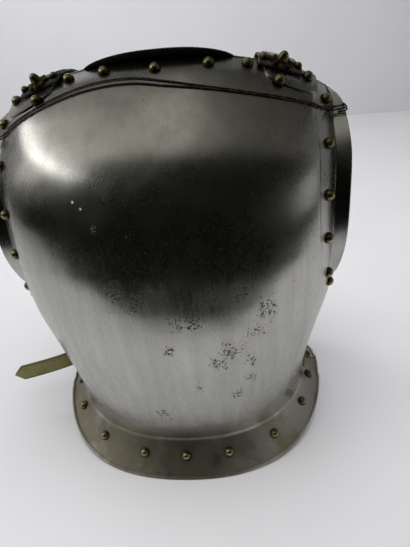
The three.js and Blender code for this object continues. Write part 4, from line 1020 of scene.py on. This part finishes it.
def rosette(hand, side):
    """Cast rosette: leaves and a knob as one height over a disc."""
    around = np.linspace(0, 2 * math.pi, 96, endpoint=False)
    shares = np.concatenate([np.linspace(0, 1, 40) ** 0.9])
    wave = np.cos(LEAVES * around)
    outline = 0.88 + 0.12 * wave
    points, high = [], []
    for s in shares:
        r = ROSETTE_RADIUS * s * (1 + (outline - 1) * s**2)
        knob = np.sqrt(np.clip(1 - (s / 0.47) ** 2, 0, None)) * (ROSETTE_HEIGHT - ROSETTE_LEAF)
        leaf = ROSETTE_LEAF * (0.55 + 0.45 * np.sqrt(np.clip(1 - s**4, 0, 1)))
        relief = (0.9 * (wave - 0.35 * np.abs(np.sin(LEAVES * around)))
                  * min(1, max(0, (s - 0.4) * 4)) * (1 - s**6))
        height = leaf + knob + relief * 0.8
        points.append(np.stack([r * np.cos(around), r * np.sin(around), height], axis=-1))
        high.append(np.clip(height / ROSETTE_HEIGHT * 1.1, 0, 1))
    foot = points[-1].copy()
    foot[:, 2] = 0
    points.append(foot)
    high.append(0 * around)
    grid = np.array(points)
    ids = np.arange(grid.shape[0] * 96).reshape(-1, 96)
    wrapped = np.concatenate([ids, ids[:, :1]], axis=1)
    faces = quads(wrapped)[96:].tolist() + [ids[-1].tolist()]
    faces += [[int(ids[1][k]), int(ids[1][(k + 1) % 96]), 0] for k in range(96)]
    seat, normal = shoulder_seat(side, 0, ROSETTE_PLACE, STRAP_BACK_LIFT + STRAP_LEATHER + 0.2)
    flat = placed(grid.reshape(-1, 3), seat, normal)
    piece = new_object(f"cast_rosette_{hand}", flat, faces, [cast_brass],
                       attributes={"high": np.concatenate(high)}, sharp=70)
    return oriented(piece)


for hand, side in SIDES.items():
    hand_over(rosette(hand, side), [f"rosette_{hand}"])

# %% Small rivets and studs
SMALL_RIVET_DIAMETER, SMALL_RIVET_HEIGHT = 8, 5
STUD_DIAMETER, STUD_HEIGHT = 15, 8
for hand, side in SIDES.items():
    sideways = STRAP_WIDTH / 2 - SMALL_RIVET_DIAMETER / 2 - 0.3
    lift = STRAP_BACK_LIFT + STRAP_LEATHER
    seats = [shoulder_seat(side, end * sideways, SMALL_RIVET_DIAMETER * 0.7, lift) for end in (-1, 1)]
    small = set_domes(f"strap_rivets_{hand}", [p for p, _ in seats], [n for _, n in seats],
                      SMALL_RIVET_DIAMETER, SMALL_RIVET_HEIGHT, cast_brass, 20)
    hand_over(small, [f"strap_rivet_inner_{hand}", f"strap_rivet_outer_{hand}"])
    up = STRAP_FRONT_END + 0.035
    angle = angle_at_x(BREAST, side * STRAP_PLACE, up)
    normal = form_normal(BREAST, angle, up)
    seat = form_point(BREAST, angle, up) + normal * (STRAP_LEATHER + FACING_WALL + SEAT_GAP + 0.6)
    stud = set_domes(f"breast_stud_{hand}", [seat], [normal], STUD_DIAMETER, STUD_HEIGHT, cast_brass, 32)
    hand_over(stud, [f"strap_stud_{hand}"])

# %% [markdown]
# ## The belt
# One strap with a buckle is riveted at the left hip, and the long one at the right hip. The long one goes
# round the front, through the buckle, and its pointed end sticks out past the hip as the photograph shows.

# %% Belt rows
BELT_WIDTH, BELT_LEATHER, BELT_HEIGHT = 24, 2.6, 68
BELT_TAIL, BELT_TAIL_ANGLE, BELT_TAIL_BEND, BELT_POINT = 86, 21, 22, 9
BUCKLE_BAR, BUCKLE_WALL, BUCKLE_LENGTH, BUCKLE_FRONT = 3, 2.4, 24, 36
BUCKLE_CLEARANCE = 1.5
BELT_END_ANGLE, BELT_STUD_ANGLE = 79, 83.5
BELT_LIFT = 2.4 * SEAT_GAP
BELT_RISES = np.linspace(-1, 1, 9) * BELT_WIDTH / 2


def waist_point(plate, angle, rise, lift):
    """Point on the waist at the belt's height plus rise, lift mm off the plate."""
    up = (BELT_HEIGHT + rise - WAIST_HEIGHT - HIP_RISE * (1 - math.cos(angle))) / PLATE_HEIGHT
    return form_point(plate, angle, up) + form_normal(plate, angle, up) * lift


def waist_angle(plate, distance):
    """Angle at which the waist is a distance in mm from the seam plane."""
    up = (BELT_HEIGHT - WAIST_HEIGHT) / PLATE_HEIGHT
    depth = plate["depth"] * float(section_value(plate, up, "deep"))
    return math.acos((distance / depth) ** (plate["squareness"] / 2))


def belt_row(plate, angle, lift):
    """One row of belt points across its width."""
    return [waist_point(plate, angle, rise, lift) for rise in BELT_RISES]


def from_axis(rows):
    """Away from the body's upright axis."""
    return np.stack([rows[..., 0], rows[..., 1], 0 * rows[..., 0]], axis=-1)


def belt_rows():
    """Rows of the long belt from the right hip to its free end."""
    rows = [belt_row(BACK, -math.radians(d), BELT_LIFT) for d in (BELT_END_ANGLE, 84, 88)]
    front_end = waist_angle(BREAST, BUCKLE_FRONT + BUCKLE_BAR)
    for k in range(-10, 11):
        limit = -math.radians(88) if k < 0 else front_end
        rows.append(belt_row(BREAST, limit * abs(k) / 10, BELT_LIFT))
    rear = BUCKLE_FRONT - BUCKLE_LENGTH + BUCKLE_BAR
    over = BELT_LIFT + BUCKLE_WALL + 2 * SEAT_GAP
    on_strap = BELT_LIFT + BELT_LEATHER + SEAT_GAP
    rows.append(belt_row(BREAST, waist_angle(BREAST, BUCKLE_FRONT - BUCKLE_BAR), BELT_LIFT))
    rows.append(belt_row(BREAST, waist_angle(BREAST, rear + BUCKLE_BAR), over))
    rows.append(belt_row(BREAST, waist_angle(BREAST, rear - BUCKLE_BAR), max(over, on_strap)))
    start = np.array(belt_row(BREAST, waist_angle(BREAST, rear - 3 * BUCKLE_BAR), on_strap + 0.5))
    heading = math.radians(BELT_TAIL_ANGLE)
    middle = start[len(start) // 2]
    point_share = 1 - BELT_POINT / (BELT_TAIL + BELT_TAIL_BEND) / 1.4
    strip = []
    for share, narrow in [(point_share * k / 8, 1) for k in range(9)] + [(1.0, 0.08)]:
        once = 2 * share * (1 - share) + share * share
        row = start.copy()
        row[:, 0] = middle[0] * share + start[:, 0] * (1 - share)
        row[:, 0] += BELT_TAIL_BEND * 0.13 * once + BELT_TAIL * math.cos(heading) * share**2
        row[:, 1] += BELT_TAIL_BEND * once + BELT_TAIL * math.sin(heading) * share**2
        row[:, 2] = middle[2] + (start[:, 2] - middle[2]) * narrow
        strip.append(row)
    tip = [strip[-2] + (strip[-1] - strip[-2]) * k / 4 for k in range(1, 5)]
    return np.concatenate([splined(rows + strip[:-1], 3), tip])


belt = strap_solid("buff_belt", belt_rows(), BELT_LEATHER, from_axis, buff_leather)
hand_over(belt, ["belt"])
rear_bar = BUCKLE_FRONT - BUCKLE_LENGTH + BUCKLE_BAR
short_rows = [belt_row(BACK, math.radians(d), BELT_LIFT) for d in (BELT_END_ANGLE, 82, 85, 88)]
short_rows += [belt_row(BREAST, math.radians(88), BELT_LIFT),
               belt_row(BREAST, waist_angle(BREAST, rear_bar - BUCKLE_BAR / 2 - SEAT_GAP), BELT_LIFT)]
short = strap_solid("buckle_leather", splined(short_rows, 4), BELT_LEATHER, from_axis, buff_leather)
hand_over(short, ["buckle_strap"])

# %% [markdown]
# ## Buckle and belt studs
# The buckle is a plain frame of round brass rod: a tube carried round a rectangle with soft corners.

# %% Buckle


def buckle_frame():
    """Closed tube round the buckle's outline."""
    over_belt = BELT_LIFT + BELT_LEATHER + 2 * SEAT_GAP + BUCKLE_WALL / 2
    front = waist_point(BREAST, waist_angle(BREAST, BUCKLE_FRONT), 0, over_belt)
    back = waist_point(BREAST, waist_angle(BREAST, rear_bar), 0, BELT_LIFT + BUCKLE_WALL / 2)
    tall = BELT_WIDTH / 2 + BUCKLE_CLEARANCE
    middle = waist_angle(BREAST, (BUCKLE_FRONT + rear_bar) / 2)
    rise = waist_point(BREAST, middle, tall, 0) - waist_point(BREAST, middle, -tall, 0)
    along = unit(front - back)
    outward = unit(np.cross(rise, along))
    outward *= np.sign(outward[0])
    up = np.cross(outward, along)
    centre = (front + back) / 2
    half_long = np.linalg.norm(front - back) / 2
    half_tall = tall + BUCKLE_BAR / 2
    corner = 2.5
    path = []
    for cx, cy, start in ((1, 1, 0), (-1, 1, 90), (-1, -1, 180), (1, -1, 270)):
        for degrees in np.linspace(start, start + 90, 7):
            a = math.radians(degrees)
            path.append(centre + along * (cx * (half_long - corner) + corner * math.cos(a))
                        + up * (cy * (half_tall - corner) + corner * math.sin(a)))
    path = np.array(path)
    sides = 12
    ring = np.linspace(0, 2 * math.pi, sides, endpoint=False)
    closed = np.concatenate([path[-1:], path, path[:1]])
    direction = unit(closed[2:] - closed[:-2])
    side = np.cross(direction, outward)
    half_bar, half_wall = BUCKLE_BAR / 2, BUCKLE_WALL / 2
    points = (path[:, None] + np.cos(ring)[None, :, None] * side[:, None] * half_bar
              + np.sin(ring)[None, :, None] * outward * half_wall)
    ids = np.arange(len(path) * sides).reshape(len(path), sides)
    wrapped = np.concatenate([ids, ids[:1]])
    wrapped = np.concatenate([wrapped, wrapped[:, :1]], axis=1)
    high = np.tile(0.5 + 0.5 * np.sin(ring), len(path))
    return oriented(new_object("buckle_frame", points.reshape(-1, 3), quads(wrapped).tolist(), [cast_brass],
                               attributes={"high": high}, sharp=80))


hand_over(buckle_frame(), ["buckle"])
for hand, side in SIDES.items():
    angle = side * math.radians(BELT_STUD_ANGLE)
    seat = waist_point(BACK, angle, 0, BELT_LIFT + BELT_LEATHER)
    normal = unit(waist_point(BACK, angle, 0, 1) - waist_point(BACK, angle, 0, 0))
    stud = set_domes(f"hip_stud_{hand}", [seat], [normal], 10, 6, dark_iron, 20)
    hand_over(stud, [f"belt_stud_{hand}"])

# %% [markdown]
# ## The hanging wire
# The wire is doubled over the shoulders and hooked round both arm edges. At one end the two strands are
# twisted together, with a winding round them. What the ends do inside the arm openings is not known.
# The strands run on the plate's own surface, a little clear of it.

# %% Wire
WIRE_DIAMETER, WIRE_GAP = 1.5, 0.2
# out: share of SHOULDER_REACH, + is the wearer's right; up: share of PLATE_HEIGHT; apart: mm between strands
WIRE_ROUTE = np.array([
    (0.975, 0.915, 1.8), (0.84, 0.918, 1.8), (0.56, 0.923, 1.8), (0.3, 0.932, 2.6), (0.09, 0.942, 5.4),
    (-0.12, 0.953, 7.0), (-0.36, 0.953, 7.0), (-0.6, 0.943, 5.6), (-0.84, 0.925, 4.4), (-0.975, 0.903, 4.0)])
TWIST_STARTS = 0.84
TURNS_PER_MM = 1 / 9
WINDING_LENGTH, WINDING_PITCH = 27, 2.1


def arm_station(side, up):
    """(point, along, turn, width) of the back plate's arm flange at a height."""
    angle = side * float(edge_angle(BACK, up))
    normal = form_normal(BACK, angle, up)
    sunk = float(sunk_at(BACK, angle, up))
    point = form_point(BACK, angle, up) - normal * sunk
    inside = form_point(BACK, angle - side * 0.03, up) - normal * sunk
    low_angle = side * float(edge_angle(BACK, up - 0.01))
    rise = unit(point + normal * sunk - form_point(BACK, low_angle, up - 0.01))
    along = point - inside
    along = unit(along - rise * along.dot(rise))
    lean = math.radians(ARM_FLANGE_LEAN)
    turn = normal * math.cos(lean) + along * math.sin(lean)
    position = 2 * (up - ARM_FLANGE_START) / (top_of(BACK) - 0.002 - ARM_FLANGE_START) - 1
    return point, along, turn, ARM_FLANGE * float(arm_taper(position))


def hook(side, up):
    """Points of a strand from the plate's face over the arm flange to its far side."""
    point, along, turn, width = arm_station(side, up)
    clear = WIRE_DIAMETER / 2 + WIRE_GAP
    face = -1.15 * BACK["wall"] - clear - 0.6
    crest = width + clear + 0.3
    places = ((face - 1.6, clear + 1.6), (face, clear + 4), (face, width - 0.5), (face * 0.6, crest),
              (clear * 0.2, crest), (clear + 0.4, width - 0.8), (clear + 0.4, width * 0.4))
    return [point + along * past + turn * high for past, high in places]


def strand(which):
    """One strand of the doubled wire, from hook to hook; which is 1 or -1."""
    fine = splined(WIRE_ROUTE, 14)
    made = []
    gone = 0.0
    previous = None
    for out, up, apart in fine:
        x = -out * SHOULDER_REACH
        twisted = max(0.0, min(1.0, (out - TWIST_STARTS) / 0.06 + 0.5))
        sunk = float(sunk_at(BACK, angle_at_x(BACK, x, up), up))
        lift = WIRE_DIAMETER / 2 + WIRE_GAP + twisted * WIRE_DIAMETER * 0.5 - sunk
        place = resting_point(BACK, x, up, lift)
        normal = form_normal(BACK, angle_at_x(BACK, x, up), up)
        below = unit(resting_point(BACK, x, up - 0.004, lift) - place)
        if previous is not None:
            gone += float(np.linalg.norm(place - previous))
        previous = place
        phase = 2 * math.pi * gone * TURNS_PER_MM * twisted
        radius = which * (apart / 2 * (1 - twisted) + WIRE_DIAMETER * 0.53 * twisted)
        made.append(place - below * radius * math.cos(phase)
                    + normal * abs(radius) * twisted * which * math.sin(phase))
    first, last = hook(-1, WIRE_ROUTE[0][1] + which * 0.004), hook(1, WIRE_ROUTE[-1][1] + which * 0.004)
    path = np.array(first[::-1] + made[4:-4] + last)
    return splined(path, 2)


def wire_piece():
    """Both strands, the end that joins them, and the winding near the right arm edge."""
    upper, lower = strand(1), strand(-1)
    parts = []
    for k, path in enumerate((upper, lower)):
        points, faces = tube(path, WIRE_DIAMETER / 2, 8)
        parts.append(oriented(new_object(f"wire_strand_{k}", points, faces, [dark_iron], sharp=80)))
    core = splined((upper[6:32] + lower[6:32]) / 2, 8)
    normal = form_normal(BACK, angle_at_x(BACK, core[:, 0], 0.916), 0.916)
    edge_point, along, _, _ = arm_station(-1, WIRE_ROUTE[0][1])
    at_flange = np.clip(1.6 + (core - edge_point) @ along / 5, 0, 1)[:, None]
    core = core + normal * 1.2 - along * 1.6 * at_flange
    direction = unit(np.gradient(core, axis=0))
    side = np.cross(direction, normal)
    length = np.concatenate([[0], np.cumsum(np.linalg.norm(np.diff(core, axis=0), axis=1))])
    wound = length < WINDING_LENGTH
    phase = 2 * math.pi * length[wound] / WINDING_PITCH
    radius = WIRE_DIAMETER * (1.35 + 0.45 * np.sin(phase / 5.3) ** 2)
    lean = 0.9 * np.sin(phase / 3.1)[:, None] * direction[wound]
    around = side[wound] * np.cos(phase)[:, None] + np.cross(direction, side)[wound] * np.sin(phase)[:, None]
    coil = core[wound] + around * radius[:, None] + lean
    strand_length = np.linalg.norm(np.diff(upper, axis=0), axis=1).sum()
    print(f"wire: {strand_length:.0f} mm a strand, winding {length[wound][-1]:.0f} mm")
    points, faces = tube(coil, WIRE_DIAMETER * 0.42, 8)
    parts.append(oriented(new_object("wire_winding", points, faces, [dark_iron], sharp=80)))
    whole = joined(*parts)
    whole.name = "iron_wire"
    return whole


hand_over(wire_piece(), ["hanging_wire"])

# %% [markdown]
# ## Table, backdrop and light
# Steel shows what stands round it more than its own colour, so the room matters most. The pale table
# ends on a slant in the reflections, and the dim room beyond it gives the dark band across the back. The
# world's shader is a ceiling, light above and fading forwards and backwards, and a plain pale colour where
# the camera looks past the table. Two grey cards at the sides are seen in reflections only. The window and
# the right lamp show in the steel, while the overhead light and the wash only light the scene.

# %% Table and backdrop
TABLE_END = 0.32
TABLE_SLANT = 0.5


def plain_material(name, hex_colour, roughness):
    """Matt painted surface with a faint unevenness."""
    made, tree, shader = new_material(name)
    place = tree.nodes.new("ShaderNodeTexCoord").outputs["Object"]
    patches = noise(tree, place, 300, 2.0)
    colour = mixed(tree, ranged(tree, patches, 0.3, 0.7, 0.0, 0.06), linear(hex_colour), linear("#8f9098"))
    tree.links.new(colour, shader.inputs["Base Color"])
    shader.inputs["Roughness"].default_value = roughness
    return made


def sheet_of(name, corners, material):
    """Flat stage piece through four corners, in metres."""
    mesh = bpy.data.meshes.new(name)
    mesh.from_pydata(corners, [], [[0, 1, 2, 3]])
    mesh.materials.append(material)
    made = bpy.data.objects.new(name, mesh)
    bpy.context.scene.collection.objects.link(made)
    return made


pale = plain_material("pale_table", "#e4e4e8", 0.7)
left_end, right_end = (3, TABLE_END + TABLE_SLANT, 0), (-3, TABLE_END - TABLE_SLANT, 0)
sheet_of("table", [(-3, -3, 0), (3, -3, 0), left_end, right_end], pale)
near_floor = sheet_of("table_near_camera", [right_end, left_end, (3, 2.5, 0), (-3, 2.5, 0)], pale)
near_floor.visible_glossy = False
sheet_of("backdrop", [(-3, -2.2, 3.5), (3, -2.2, 3.5), (3, -2.2, -0.2), (-3, -2.2, -0.2)], pale)
grey = plain_material("grey_card", "#b4b4b8", 0.7)
right_card = sheet_of("right_card",
                      [(-3, -2.2, 2.4), (-3, 0.75, 2.4), (-3, 0.75, -0.2), (-3, -2.2, -0.2)], grey)
left_card = sheet_of("left_card", [(3, -2.2, 2.4), (3, -0.2, 2.4), (3, -0.2, -0.2), (3, -2.2, -0.2)], grey)
right_card.visible_camera = left_card.visible_camera = False

# %% Lights and room


def area_light(name, place, aim, size, watts, hex_colour="#ffffff", in_reflections=True):
    """Soft rectangular light that looks at a point."""
    data = bpy.data.lights.new(name, "AREA")
    data.shape = "RECTANGLE"
    data.size, data.size_y = size
    data.energy = watts
    data.color = linear(hex_colour)[:3]
    made = bpy.data.objects.new(name, data)
    made.location = place
    made.rotation_euler = (Vector(aim) - Vector(place)).to_track_quat("-Z", "Y").to_euler()
    made.visible_glossy = in_reflections
    bpy.context.scene.collection.objects.link(made)
    return made


area_light("window", (1.08, 0.1, 1.0), (0.1, 0.0, 0.36), (1.2, 0.15), 1.7)
area_light("right_lamp", (-1.55, 0.42, 0.43), (-0.13, -0.05, 0.31), (0.3, 0.4), 0.32)
area_light("overhead", (-0.2, 0.1, 2.0), (0.0, -0.15, 0.2), (1.8, 1.8), 33, in_reflections=False)
area_light("backdrop_wash", (1.2, -0.9, 1.9), (0.9, -2.2, 1.0), (1.4, 0.6), 22, in_reflections=False)
room = bpy.data.worlds.new("dim_room")
room.use_nodes = True
room_tree = room.node_tree
room_tree.nodes.clear()
ray = room_tree.nodes.new("ShaderNodeTexCoord").outputs["Generated"]
parts = add_node(room_tree, "ShaderNodeSeparateXYZ", {0: ray}).outputs
across = add_node(room_tree, "ShaderNodeValToRGB", {0: ranged(room_tree, parts[0], -1.0, 1.0)})
stops = ((0.0, "#4a4946"), (0.28, "#53524d"), (0.44, "#6b6a64"), (0.53, "#c2c1b8"),
         (0.6, "#a5a49c"), (0.65, "#90908a"), (0.735, "#b3b2aa"), (0.84, "#d9d8d2"), (0.915, "#f7f6f0"))
while len(across.color_ramp.elements) < len(stops):
    across.color_ramp.elements.new(0.5)
for element, (position, hex_colour) in zip(across.color_ramp.elements, stops):
    element.position = position
    element.color = linear(hex_colour)
slope = combined(room_tree, "DIVIDE", parts[1], combined(room_tree, "MAXIMUM", parts[2], 0.05))
lit = combined(room_tree, "MULTIPLY", ranged(room_tree, slope, -0.5, 0.45, 0.3, 1.5),
               ranged(room_tree, slope, 0.95, 0.58))
lit = combined(room_tree, "MULTIPLY", lit, ranged(room_tree, parts[2], 0.0, 0.3))
ceiling = mixed(room_tree, 1.0, across.outputs[0], lit, "MULTIPLY")
surroundings = mixed(room_tree, 1.0, ceiling, linear("#12110f"), "ADD")
straight = room_tree.nodes.new("ShaderNodeLightPath").outputs["Is Camera Ray"]
seen = mixed(room_tree, straight, surroundings, linear("#d4d4d8"))
glow = add_node(room_tree, "ShaderNodeBackground", {"Color": seen, "Strength": 1.0})
add_node(room_tree, "ShaderNodeOutputWorld", {"Surface": glow.outputs[0]})
bpy.context.scene.world = room
bpy.context.scene.view_settings.view_transform = "Standard"
